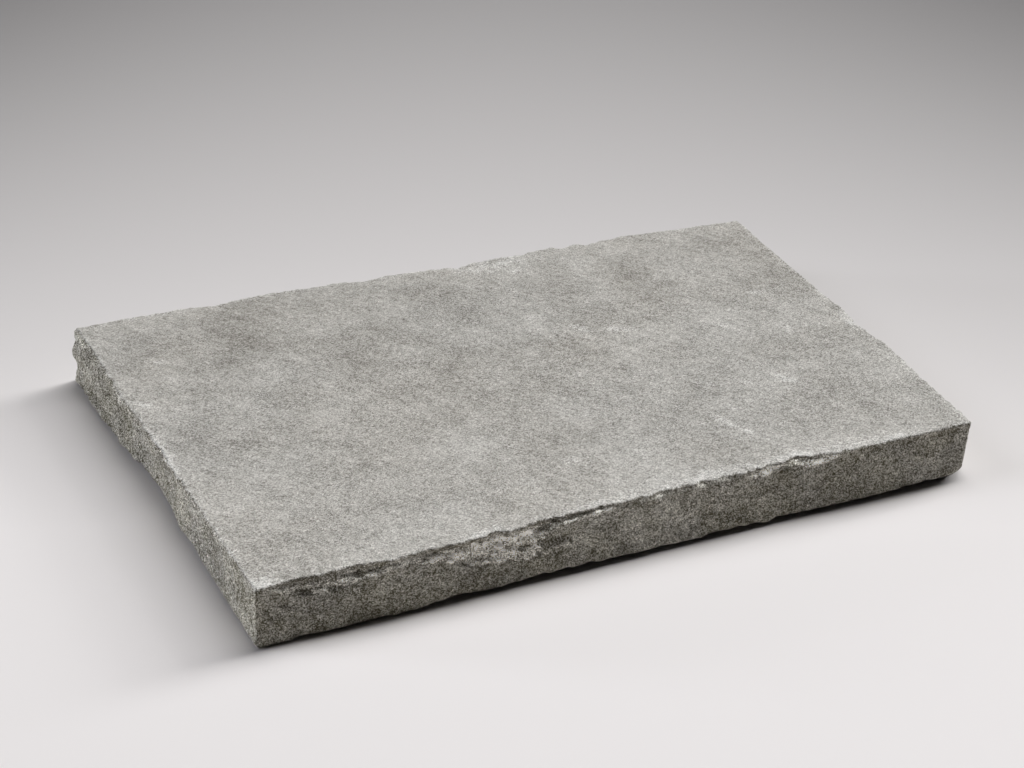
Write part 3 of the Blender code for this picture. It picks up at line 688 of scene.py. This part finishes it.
SCUFFS = [
    (-294, -222, 14, 9, 0, 1.0), (125, -146, 30, 5, -66, 0.8), (138, -119, 9, 5, -40, 0.6),
    (200, -89, 14, 6, -50, 1.0), (168, -81, 10, 4, -40, 0.8), (136, -71, 8, 4, -50, 0.8),
    (171, -41, 12, 5, -60, 0.8), (197, 20, 10, 5, -50, 0.7), (246, -5, 9, 5, -40, 0.6),
    (255, 67, 11, 4, -10, 1.0), (112, 47, 14, 5, -20, 1.0), (84, 60, 10, 5, -60, 0.95),
    (-18, -146, 10, 6, -30, 0.7), (-64, -162, 8, 5, 0, 0.5), (-91, -169, 10, 6, 0, 0.5),
    (-54, -105, 8, 4, -50, 0.5), (302, -14, 14, 6, 90, 1.0), (-20, -213, 50, 6, 2, 0.5),
    (75, -207, 40, 6, 2, 0.75), (150, -204, 22, 6, 3, 0.8), (205, -207, 34, 5, 3, 0.6),
    (232, -210, 16, 3, 3, 1.0),
    (-297, 72, 8, 4, -70, 1.0), (-306, -14, 34, 6, 92, 1.0), (-265, 140, 6, 3, -20, 1.0),
    (62, 208, 36, 9, 4, 1.0), (78, 190, 16, 6, -30, 0.7), (-121, -220, 20, 6, 3, 0.7),
]
print("patches:", len(PATCHES), "scuffs:", len(SCUFFS))

# %% Patches, painted light and scuffs at every point
FRAY = 5 * MM
FRAY_LUMP = 17 * MM
FRAY_SEEDS = (61, 62)
PATCH_STRENGTH = 1.35
fray = [lumps(points, FRAY_LUMP, seed) for seed in FRAY_SEEDS]
frayed_x = (points[:, 0] + FRAY * fray[0]) / MM
frayed_y = (points[:, 1] + FRAY * fray[1]) / MM
patch = PATCH_STRENGTH * soft_spots(frayed_x, frayed_y, PATCHES)
scuffed = soft_spots(points[:, 0] / MM, points[:, 1] / MM, SCUFFS)
print("patches from", round(patch.min(), 2), "to", round(patch.max(), 2))

# %% [markdown]
# ## The stone as a mesh
#
# The arrays go into one closed mesh. Its faces are small, so it is smooth shaded. Chipping can
# bring two points together, so doubles are merged and the faces turned outwards once more, and a
# count of open edges shows that the skin is closed.

# %% Slab
faces = side_faces + top_faces + base_faces
slab_mesh = bpy.data.meshes.new("slab_stone")
slab_mesh.from_pydata(points.tolist(), [], faces)
slab_mesh.shade_smooth()
slab = bpy.data.objects.new("slab_stone", slab_mesh)
bpy.context.collection.objects.link(slab)
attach(slab, "root")
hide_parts("slate_slab")

# %% [markdown]
# ## What the finish needs to know
#
# Eleven numbers ride on the mesh's points. For the walls they say which spot is a side, how fresh
# a break it is, how far above the rim and below the foot, how many split layers in, how deep in
# a hollow, and where a mark lies. For the top they give the nearness of the arris, the patches
# and the scuffs, and for both the strength of the grain. Numbers on points follow the chips
# exactly, where a pattern would only come near them.

# %% Numbers on the walls' points
SIDE_START = 1.2 * MM  # below the arris the side's own colour is reached
ARRIS_ON_SIDE = 1.6 * MM  # how fast the rubbed edge fades, down the side and over the top
ARRIS_ON_TOP = 5 * MM
SIDE_GRAIN = {"front": 1.95, "right": 1.35, "back": 1.7, "left": 2.9}
TOP_GRAIN = [(-0.23, 1.02), (0.05, 0.95), (0.23, 0.78)]  # metres towards the back, strength
# From a step away a spot that lies one mm deeper in the wall looks 0.58 mm higher up on it
SEEN_HIGHER = 0.58
SEEN_DEPTH = 12 * MM


def point_values(name, values, rest=0.0):
    """Stores one number for each point: those given for the first points, and rest for the others."""
    values = np.concatenate([np.ravel(values), np.full(len(points) - np.size(values), rest)])
    slab_mesh.attributes.new(name, "FLOAT", "POINT").data.foreach_set("value", values)


below_arris = THICKNESS - height
side_share = rising(below_arris, 0, SIDE_START)
seen_height = height + SEEN_HIGHER * np.clip(depth, 0, SEEN_DEPTH)
point_values("side", side_share)
point_values("fresh", fresh * shares_along(PALENESS))
point_values("above_rim", above_rim)
point_values("ledge", ledge)
point_values("under", under)
point_values("hollow", hollow)
point_values("mark", wall_spots(seen_height, {"front": PALE_MARKS_AND_HIGHLIGHTS + DARK_MARKS_AND_SHADE}))

# %% Numbers on the top's points
top_share = np.concatenate([1 - side_share.ravel(), np.ones(len(top_points)), np.zeros(len(base_points))])
grain = np.interp(points[:, 1], *np.transpose(TOP_GRAIN))
side_grain = np.array([SIDE_GRAIN[name] for name in SIDE_OF_COLUMN])
grain[:side_share.size] += ((side_grain - 1) * side_share).ravel()
arris = np.concatenate([np.exp(-below_arris / ARRIS_ON_SIDE).ravel(), np.exp(-top_gaps / ARRIS_ON_TOP)])
point_values("grain", grain)
point_values("arris", arris)
point_values("patch", patch * top_share)
point_values("scuffed", scuffed * top_share)
POINT_NUMBERS = [item.name for item in slab_mesh.attributes if item.data_type == "FLOAT"]
print("numbers on each point:", POINT_NUMBERS)

# %% Doubles merged, faces outwards
DOUBLE = 0.001 * MM
shape = bmesh.new()
shape.from_mesh(slab_mesh)
bmesh.ops.remove_doubles(shape, verts=shape.verts, dist=DOUBLE)
bmesh.ops.recalc_face_normals(shape, faces=shape.faces)
open_edges = sum(not edge.is_manifold for edge in shape.edges)
shape.to_mesh(slab_mesh)
shape.free()
triangles = sum(len(face) - 2 for face in faces)
print("slab:", len(slab_mesh.vertices), "of", len(points), "points,", triangles, "triangles,",
      open_edges, "open edges")

# %% [markdown]
# ## The stone's finish
#
# The stone is a dry grey slate, split and never polished, with a sandy grain. What the eye sees
# is salt and pepper, faint broad mottling, short fibres along the split, and darker, rougher
# walls with paler fresh breaks. An image would repeat or blur over a slab this size, so patterns
# draw it all. One small function adds each node with its settings and links.

# %% Helpers for colours and nodes
def linear(hex_colour):
    """An sRGB hex colour as linear RGBA."""
    parts = [int(hex_colour[i:i + 2], 16) / 255 for i in (1, 3, 5)]
    return [*[c / 12.92 if c <= 0.04045 else ((c + 0.055) / 1.055) ** 2.4 for c in parts], 1.0]


def add(tree, kind, inputs=(), **settings):
    """Adds a node with its settings, and its inputs as {socket: value, socket or node to link}."""
    made = tree.nodes.new("ShaderNode" + kind)
    for name, value in settings.items():
        setattr(made, name, value)
    for socket, value in dict(inputs).items():
        if isinstance(value, bpy.types.Node):
            value = value.outputs[0]
        if isinstance(value, bpy.types.NodeSocket):
            tree.links.new(value, made.inputs[socket])
        else:
            made.inputs[socket].default_value = value
    return made


def summed(tree, values, shares, total=0.0):
    """total + the sum of value * share over the named shares."""
    for name, share in shares.items():
        total = add(tree, "Math", {0: values[name], 1: share, 2: total}, operation="MULTIPLY_ADD")
    return total


STONE = "#aeaba5"
SCUFF = "#e6e4df"
print("stone, linear:", [round(part, 3) for part in linear(STONE)])

# %% [markdown]
# ## Patterns
#
# Two kinds of pattern make the whole finish. Sharp grains, which are Voronoi cells, give the sand
# its salt and pepper and the fresh breaks their flakes. Soft noise gives mottling, and fibres
# where it is stretched along the split. They read Object coordinates in metres, so a scale of
# 1 / size gives cells of that size. Real sand is a quarter of a millimetre, which is lost between
# two pixels from a step away, so it is drawn coarser, at 0.85 mm.

# %% Patterns of the stone
SPLIT_WAY = math.radians(-57)  # of the fibres, seen from above
GRAINS, NOISE = "TexVoronoi", "TexNoise"
EVEN = (1, 1, 1)
PATTERNS = {  # kind, size in mm, detail, roughness, turned by, how many times longer
    "sand": (GRAINS, 0.85, 0, 0.5, 0, EVEN),
    "gravel": (GRAINS, 2.3, 0, 0.5, SPLIT_WAY, (1.3, 1, 1)),
    "flakes": (GRAINS, 2.8, 0, 0.5, 0, (FLAKE_STRETCH, FLAKE_STRETCH, 1)),
    "specks": (NOISE, 0.7, 2, 0.7, 0, EVEN),
    "broad mottling": (NOISE, 60, 4, 0.6, 0, EVEN),
    "small mottling": (NOISE, 14, 3, 0.6, 0, EVEN),
    "short streaks": (NOISE, 8, 3, 0.6, SPLIT_WAY, (3, 1, 1)),
    "long streaks": (NOISE, 22, 3, 0.6, SPLIT_WAY, (2.5, 1, 1)),
    "small lumps": (NOISE, 2.2, 3, 0.6, 0, EVEN),
    "large lumps": (NOISE, 4.4, 3, 0.6, 0, EVEN),
    "fibres": (NOISE, 2.8, 3, 0.6, SPLIT_WAY, (4, 1, 1)),
    "frayed rim": (NOISE, 3, 3, 0.7, 0, (2, 2, 1)),
    "waving layers": (NOISE, 5, 4, 0.65, 0, (3, 3, 1)),
    "gaps": (NOISE, 3, 5, 0.75, 0, (1.8, 1.8, 1)),
    "weathering": (NOISE, 35, 3, 0.6, 0, EVEN),
    "cool areas": (NOISE, 110, 3, 0.5, 0, EVEN),
    "crumbs": (NOISE, 2.6, 3, 0.7, 0, EVEN),
    "heaps of crumbs": (NOISE, 8, 2, 0.5, 0, EVEN),
}


def stone_values(tree):
    """Every pattern from -0.5 to 0.5, and every number on the points, by name.

    A pattern of grains has one value for each grain, and also how far out in it a spot lies.
    """
    place = add(tree, "TexCoord").outputs["Object"]
    values = {}
    for name, (kind, size, detail, rough, turn, longer) in PATTERNS.items():
        spot = add(tree, "Mapping", {"Vector": place, "Rotation": (0, 0, turn), "Scale": longer},
                   vector_type="TEXTURE")
        made = add(tree, kind, {"Vector": spot, "Scale": 1 / (size * MM), "Detail": detail,
                                "Roughness": rough})
        value = made.outputs[0]
        if kind == GRAINS:
            value = add(tree, "SeparateColor", {0: made.outputs["Color"]})
            values[name + " outwards"] = made.outputs["Distance"]
        values[name] = add(tree, "Math", {0: value, 1: 0.5}, operation="SUBTRACT")
    for name in POINT_NUMBERS:
        values[name] = add(tree, "Attribute", attribute_name=name).outputs["Fac"]
    return values


print("patterns:", len(PATTERNS))

# %% [markdown]
# ## Tone of the old surface
#
# Tone is one number at each spot: how much lighter or darker the stone is there than its own
# colour. Grain, mottling and fibres are added up, and they are stronger on the walls, which were
# broken across the layers. Hollows are darker and bumps paler, partly from dirt and partly as
# painted shade.

# %% Tone of the old surface
GRAIN_SHARES = {"sand": 1.05, "gravel": 0.14, "specks": 2.1}
MOTTLING_SHARES = {"broad mottling": 0.80, "small mottling": 0.42, "short streaks": 0.50,
                   "long streaks": 0.25}
FIBRE_SHARES = {"small lumps": 0.25, "large lumps": 0.40, "fibres": 0.55}
SPOT_SHARES = {"patch": 1.0, "mark": 0.45}
# Sockets 3 and 4 of a Map Range node: the value on the top and on a side
MOTTLING_ON = {3: 1.0, 4: 2.4}
FIBRES_ON = {3: 0.95, 4: 1.1}
# The same for the tone of each mm of hollow, painted as dirt and shade, on the old surface and on a fresh
# break
HOLLOW_DIRT_AND_SHADE_ON = {3: 0.22, 4: 0.13}


def surface_tone(tree, stone, fresh):
    """Grain, mottling, fibres and the painted dirt and shade of hollows, each times its strength at the
    spot, plus the spots.
    """
    mottling = add(tree, "MapRange", {0: stone["side"], **MOTTLING_ON})
    fibres = add(tree, "MapRange", {0: stone["side"], **FIBRES_ON})
    shade = add(tree, "MapRange", {0: fresh, **HOLLOW_DIRT_AND_SHADE_ON})
    made = {"grain": summed(tree, stone, GRAIN_SHARES), "mottling": summed(tree, stone, MOTTLING_SHARES),
            "fibres": summed(tree, stone, FIBRE_SHARES), "hollow": stone["hollow"]}
    tone = summed(tree, stone, SPOT_SHARES)
    return summed(tree, made, {"grain": stone["grain"], "mottling": mottling, "fibres": fibres,
                               "hollow": shade}, tone)


# %% [markdown]
# ## Fresh breaks
#
# Where the arris spalled off, the break is paler and flaky, with painted shade in the crevices
# between the split layers and in the gaps between crumbs. Its rim is never a clean line, so noise
# is added to the distance from the rim before the edge is drawn. All of it is stretched level,
# because the stone breaks along its bedding.

# %% Tone of the fresh breaks
RIM_FRAY = 5.0  # mm
RIM_SHARPNESS = 1.2
LAYER_WAVE = 1.8  # split layers
FLAKE_SHARE = 0.45
# Sockets 1 to 4 of a Map Range node: from and to where it changes, and the tones before and after
CREVICE_SHADE = {1: 0.74, 2: 0.94, 3: 0.10, 4: -0.34}
GAP_SHADE = {1: -0.16, 2: -0.05, 3: -0.32, 4: 0.05}
BREAK_CONTRAST = 1.6


def break_freshness(tree, stone):
    """clip(fresh * clip(1.2 (mm above the rim + noise) + 0.5) + mark)."""
    rim = summed(tree, stone, {"frayed rim": RIM_FRAY}, stone["above_rim"])
    inside = add(tree, "Math", {0: rim, 1: RIM_SHARPNESS, 2: 0.5}, operation="MULTIPLY_ADD",
                 use_clamp=True)
    return add(tree, "Math", {0: stone["fresh"], 1: inside, 2: stone["mark"]},
               operation="MULTIPLY_ADD", use_clamp=True)


def break_tone(tree, stone, fresh):
    """(painted crevice shade + painted gap shade + 0.45 flakes) * clip(1.6 fresh), the crevice by the
    fraction of the layer.
    """
    layer = summed(tree, stone, {"waving layers": LAYER_WAVE}, stone["ledge"])
    crevice_shade = add(tree, "MapRange", {0: add(tree, "Math", {0: layer}, operation="FRACT"), **CREVICE_SHADE})
    gap = add(tree, "MapRange", {0: stone["gaps"], **GAP_SHADE})
    dark = add(tree, "Math", {0: crevice_shade, 1: gap}, operation="ADD")
    tone = summed(tree, stone, {"flakes": FLAKE_SHARE}, dark)
    strength = add(tree, "Math", {0: fresh, 1: BREAK_CONTRAST}, operation="MULTIPLY", use_clamp=True)
    return add(tree, "Math", {0: tone, 1: strength}, operation="MULTIPLY")


# %% [markdown]
# ## Colour
#
# The stone is a warm mid grey, and tints change it: the walls are darker and browner with some
# olive, as weather left them, and a fresh break is nearly twice as pale. Tone is added in a
# greyer version of the same colour, because light grains have less colour than dark ones. Then
# come the pale scuffs on the top and along the rubbed arris, and the deep shade under the foot.

# %% Colour of the stone
WARM_TINT = (1.0, 0.993, 0.98, 1.0)
COOL_TINT = (0.995, 0.997, 0.995, 1.0)
WALL_TINT = (0.775, 0.77, 0.72, 1.0)
OLIVE_TINT = (0.795, 0.785, 0.695, 1.0)
FRESH_TINT = (1.90, 1.91, 1.86, 1.0)
TINT_EDGE = {1: -0.12, 2: 0.12}  # where the noise turns from one tint to the other


def stone_base(tree, stone, fresh):
    """The stone's colour times its tint on the top, the old wall or the fresh break."""
    olive = add(tree, "MapRange", {0: stone["weathering"], **TINT_EDGE})
    cool = add(tree, "MapRange", {0: stone["cool areas"], **TINT_EDGE})
    top = add(tree, "Mix", {0: cool, 6: WARM_TINT, 7: COOL_TINT}, data_type="RGBA").outputs[2]
    wall = add(tree, "Mix", {0: olive, 6: WALL_TINT, 7: OLIVE_TINT}, data_type="RGBA").outputs[2]
    wall = add(tree, "Mix", {0: fresh, 6: wall, 7: FRESH_TINT}, data_type="RGBA").outputs[2]
    tint = add(tree, "Mix", {0: stone["side"], 6: top, 7: wall}, data_type="RGBA").outputs[2]
    return add(tree, "Mix", {0: 1.0, 6: linear(STONE), 7: tint}, data_type="RGBA",
               blend_type="MULTIPLY").outputs[2]


# %% Tone and scuffs on that colour
GREYER = 0.5
SCUFF_SHARES = {"arris": 0.5, "sand": 0.75, "crumbs": 1.5, "heaps of crumbs": 1.5}
SCUFF_COVER = {1: 0.35, 2: 1.15, 3: 0.0, 4: 0.85}  # from and to where, cover before and after
SCUFF_TONE = {1: 0.5, 2: 0.86}  # the share of the stone's tone in it, and its own
FOOT_SHADE = {1: 0.0, 2: 0.5, 3: 1.0, 4: 0.25}  # within half a millimetre below the foot


def stone_colour(tree, stone, fresh, tone):
    """base + greyer base * tone, then scuffs of colour scuff * (tone / 2 + 0.86), times the shade."""
    base = stone_base(tree, stone, fresh)
    greyer = add(tree, "Mix", {0: GREYER, 6: base, 7: add(tree, "RGBToBW", {0: base})},
                 data_type="RGBA").outputs[2]
    colour = add(tree, "VectorMath", {0: greyer, 1: tone, 2: base}, operation="MULTIPLY_ADD")
    bright = add(tree, "Math", {0: tone, **SCUFF_TONE}, operation="MULTIPLY_ADD")
    pale = add(tree, "VectorMath", {0: linear(SCUFF)[:3], "Scale": bright}, operation="SCALE")
    scuffs = summed(tree, stone, SCUFF_SHARES, stone["scuffed"])
    cover = add(tree, "MapRange", {0: scuffs, **SCUFF_COVER})
    colour = add(tree, "Mix", {0: cover, 6: colour, 7: pale}, data_type="RGBA").outputs[2]
    shade = add(tree, "MapRange", {0: stone["under"], **FOOT_SHADE})
    return add(tree, "VectorMath", {0: colour, "Scale": shade}, operation="SCALE")


# %% [markdown]
# ## Riven slate
#
# Broken dry stone scatters light widely, so its roughness is near the top of the range, and its
# index of refraction is that of most rocks. The grains and the flakes also stand out a little.
# They are too small for the mesh, so two bumps give the surface its bite: sand everywhere, and
# flakes on the fresh breaks.

# %% Riven slate
ROUGHNESS = 0.88
IOR = 1.5
SAND_BUMP = {"Strength": 0.8, "Distance": 0.6 * MM}
FLAKE_BUMP = {"Strength": 0.6, "Distance": 1.2 * MM}
DARKEST_TONE = -0.78


def stone_bump(tree, stone, fresh):
    """specks - 0.45 outwards in the sand, then fresh * (flakes - 0.8 outwards in them)."""
    sand = summed(tree, stone, {"sand outwards": -0.45}, stone["specks"])
    flakes = summed(tree, stone, {"flakes outwards": -0.8}, stone["flakes"])
    flakes = add(tree, "Math", {0: flakes, 1: fresh}, operation="MULTIPLY")
    sandy = add(tree, "Bump", {"Height": sand, **SAND_BUMP})
    return add(tree, "Bump", {"Height": flakes, "Normal": sandy, **FLAKE_BUMP})


def riven_slate():
    """Split slate: salt-and-pepper grain, faint mottling, fibres along the split, paler breaks."""
    material = bpy.data.materials.new("riven_slate")
    material.use_nodes = True
    tree = material.node_tree
    tree.nodes.clear()
    stone = stone_values(tree)
    fresh = break_freshness(tree, stone)
    tone = add(tree, "Math", {0: surface_tone(tree, stone, fresh), 1: break_tone(tree, stone, fresh)},
               operation="ADD")
    tone = add(tree, "Math", {0: tone, 1: DARKEST_TONE}, operation="MAXIMUM")
    shader = add(tree, "BsdfPrincipled", {
        "Base Color": stone_colour(tree, stone, fresh, tone), "Roughness": ROUGHNESS,
        "Metallic": 0.0, "IOR": IOR, "Normal": stone_bump(tree, stone, fresh)})
    add(tree, "OutputMaterial", {"Surface": shader})
    print("riven slate:", len(tree.nodes), "nodes")
    return material


slab_mesh.materials.append(riven_slate())

# %% [markdown]
# ## The floor
#
# The slab lies on a plain pale floor that fades to grey towards the back, as a studio floor does
# beyond its pool of light. A curved backdrop would hide the slab from the other angles, so the
# floor is one large plane, and the pool of light and its fade are painted into it by a formula.

# %% Floor
FLOOR = "#eeeae9"
FLOOR_HALF = 12.0
FLOOR_ROUGHNESS = 0.9
POOL_WAY = (0.389, 0.921, 0.0)  # along the floor, away from the viewer
POOL_ACROSS = (0.921, -0.389, 0.0)
POOL_START = -0.16
POOL_NEAR = 0.584  # how fast the painted light falls where the pool ends
POOL_SHARES = {"beyond": 0.148, "across squared": 0.890, "across": 0.111}
POOL_DARKEST = 0.15


def painted_light_pool(tree):
    """Painted pool of light: exp(-d (0.584 + 0.148 d + 0.89 w^2 + 0.111 w)), d beyond the pool's start and
    w across it.
    """
    place = add(tree, "TexCoord").outputs["Object"]
    beyond = add(tree, "VectorMath", {0: place, 1: POOL_WAY}, operation="DOT_PRODUCT").outputs["Value"]
    beyond = add(tree, "Math", {0: beyond, 1: POOL_START}, operation="SUBTRACT")
    beyond = add(tree, "Math", {0: beyond, 1: 0.0}, operation="MAXIMUM")
    across = add(tree, "VectorMath", {0: place, 1: POOL_ACROSS}, operation="DOT_PRODUCT").outputs["Value"]
    squared = add(tree, "Math", {0: across, 1: across}, operation="MULTIPLY")
    fall = summed(tree, {"beyond": beyond, "across squared": squared, "across": across}, POOL_SHARES,
                  POOL_NEAR)
    fall = add(tree, "Math", {0: fall, 1: beyond}, operation="MULTIPLY")
    fall = add(tree, "Math", {0: fall, 1: -1.0}, operation="MULTIPLY")
    tone = add(tree, "Math", {0: fall}, operation="EXPONENT")
    return add(tree, "Math", {0: tone, 1: POOL_DARKEST}, operation="MAXIMUM")


def studio_floor():
    """Pale matt paint with a painted pool of light, on a large level plane."""
    mesh = bpy.data.meshes.new("studio_floor")
    corners = [(x * FLOOR_HALF, y * FLOOR_HALF, 0) for x, y in [(-1, -1), (1, -1), (1, 1), (-1, 1)]]
    mesh.from_pydata(corners, [], [(0, 1, 2, 3)])
    floor = bpy.data.objects.new("studio_floor", mesh)
    bpy.context.collection.objects.link(floor)
    material = bpy.data.materials.new("painted_floor")
    material.use_nodes = True
    tree = material.node_tree
    tree.nodes.clear()
    paint_and_pool = add(tree, "VectorMath", {0: linear(FLOOR)[:3], "Scale": painted_light_pool(tree)}, operation="SCALE")
    shader = add(tree, "BsdfPrincipled", {"Base Color": paint_and_pool, "Roughness": FLOOR_ROUGHNESS})
    add(tree, "OutputMaterial", {"Surface": shader})
    mesh.materials.append(material)
    print("floor:", 2 * FLOOR_HALF, "m across")


studio_floor()

# %% [markdown]
# ## The light
#
# Two large softboxes overhead, towards the right and the back, give the bright top. They can't
# reach under the front side, so a dark line stays along its foot. Wide suns stand for the
# softboxes nearer the floor: two from the right, and two cooler ones from the left that light the
# left side and soften its shadow. The pale floor throws light back onto the front.


# %% Lights
def light(name, kind, place, **settings):
    """Adds a light at this place, aimed at the slab."""
    lamp = bpy.data.lights.new(name, kind)
    for key, value in settings.items():
        setattr(lamp, key, value)
    obj = bpy.data.objects.new(name, lamp)
    obj.location = place
    obj.rotation_euler = obj.location.to_track_quat("Z", "Y").to_euler()
    bpy.context.collection.objects.link(obj)
    return obj


def ceiling_panel(name, middle, size, radiance):
    """A softbox facing straight down; its power is pi times its area times its radiance."""
    panel = light(name, "AREA", (*middle, PANEL_HEIGHT), shape="RECTANGLE", size=size[0],
                  size_y=size[1], energy=math.pi * size[0] * size[1] * radiance)
    panel.rotation_euler = (0, 0, 0)


def floor_sun(name, toward, share, spread, colour=(1, 1, 1)):
    """A wide sun that gives the level floor this share of full light."""
    length = math.sqrt(sum(part * part for part in toward))
    light(name, "SUN", toward, energy=math.pi * share * length / toward[2], angle=math.radians(spread),
          color=colour)


PANEL_HEIGHT = 8.0
COOL = (0.97, 0.99, 1.05)
ROOM_COLOUR = (0.5, 0.5, 0.5, 1)
ROOM_STRENGTH = 0.01
ceiling_panel("strip_softbox", (4.8, 0.92), (9.6, 1.36), 10.1)
ceiling_panel("broad_softbox", (4.8, 2.8), (9.6, 2.4), 3.7)
floor_sun("right_softbox", (1.5, 0.4, 1.0), 0.16, 24)
floor_sun("low_right_softbox", (2.6, 0.45, 1.0), 0.09, 16)
floor_sun("left_softbox", (-1.2, 0.4, 1.0), 0.12, 28, COOL)
floor_sun("left_fill", (-8.0, 4.5, 1.0), 0.035, 12, COOL)
world = bpy.data.worlds.new("studio")
world.use_nodes = True
background = world.node_tree.nodes["Background"]
background.inputs["Color"].default_value = ROOM_COLOUR
background.inputs["Strength"].default_value = ROOM_STRENGTH
bpy.context.scene.world = world
print("lights:", sorted(lamp.name for lamp in bpy.data.lights))

# %% [markdown]
# ## The camera
#
# The angle is that of the picture, worked out from the slab's own perspective: about 2.1 m away,
# 27.5 degrees above level and turned 22.9 degrees from square to the front side.

# %% Camera
CAMERA_PLACE = (-0.7143, -1.6771, 0.9910)
CAMERA_DOWN = 27.49  # degrees
CAMERA_TURN = -22.9
CAMERA_LENS = 87.9  # mm
CAMERA_SENSOR = 36
camera = bpy.data.cameras.new("camera")
camera.lens = CAMERA_LENS
camera.sensor_width = CAMERA_SENSOR
camera_object = bpy.data.objects.new("camera", camera)
camera_object.location = CAMERA_PLACE
camera_object.rotation_euler = (math.radians(90 - CAMERA_DOWN), 0, math.radians(CAMERA_TURN))
bpy.context.collection.objects.link(camera_object)
bpy.context.scene.camera = camera_object
bpy.context.scene.view_settings.view_transform = "Standard"
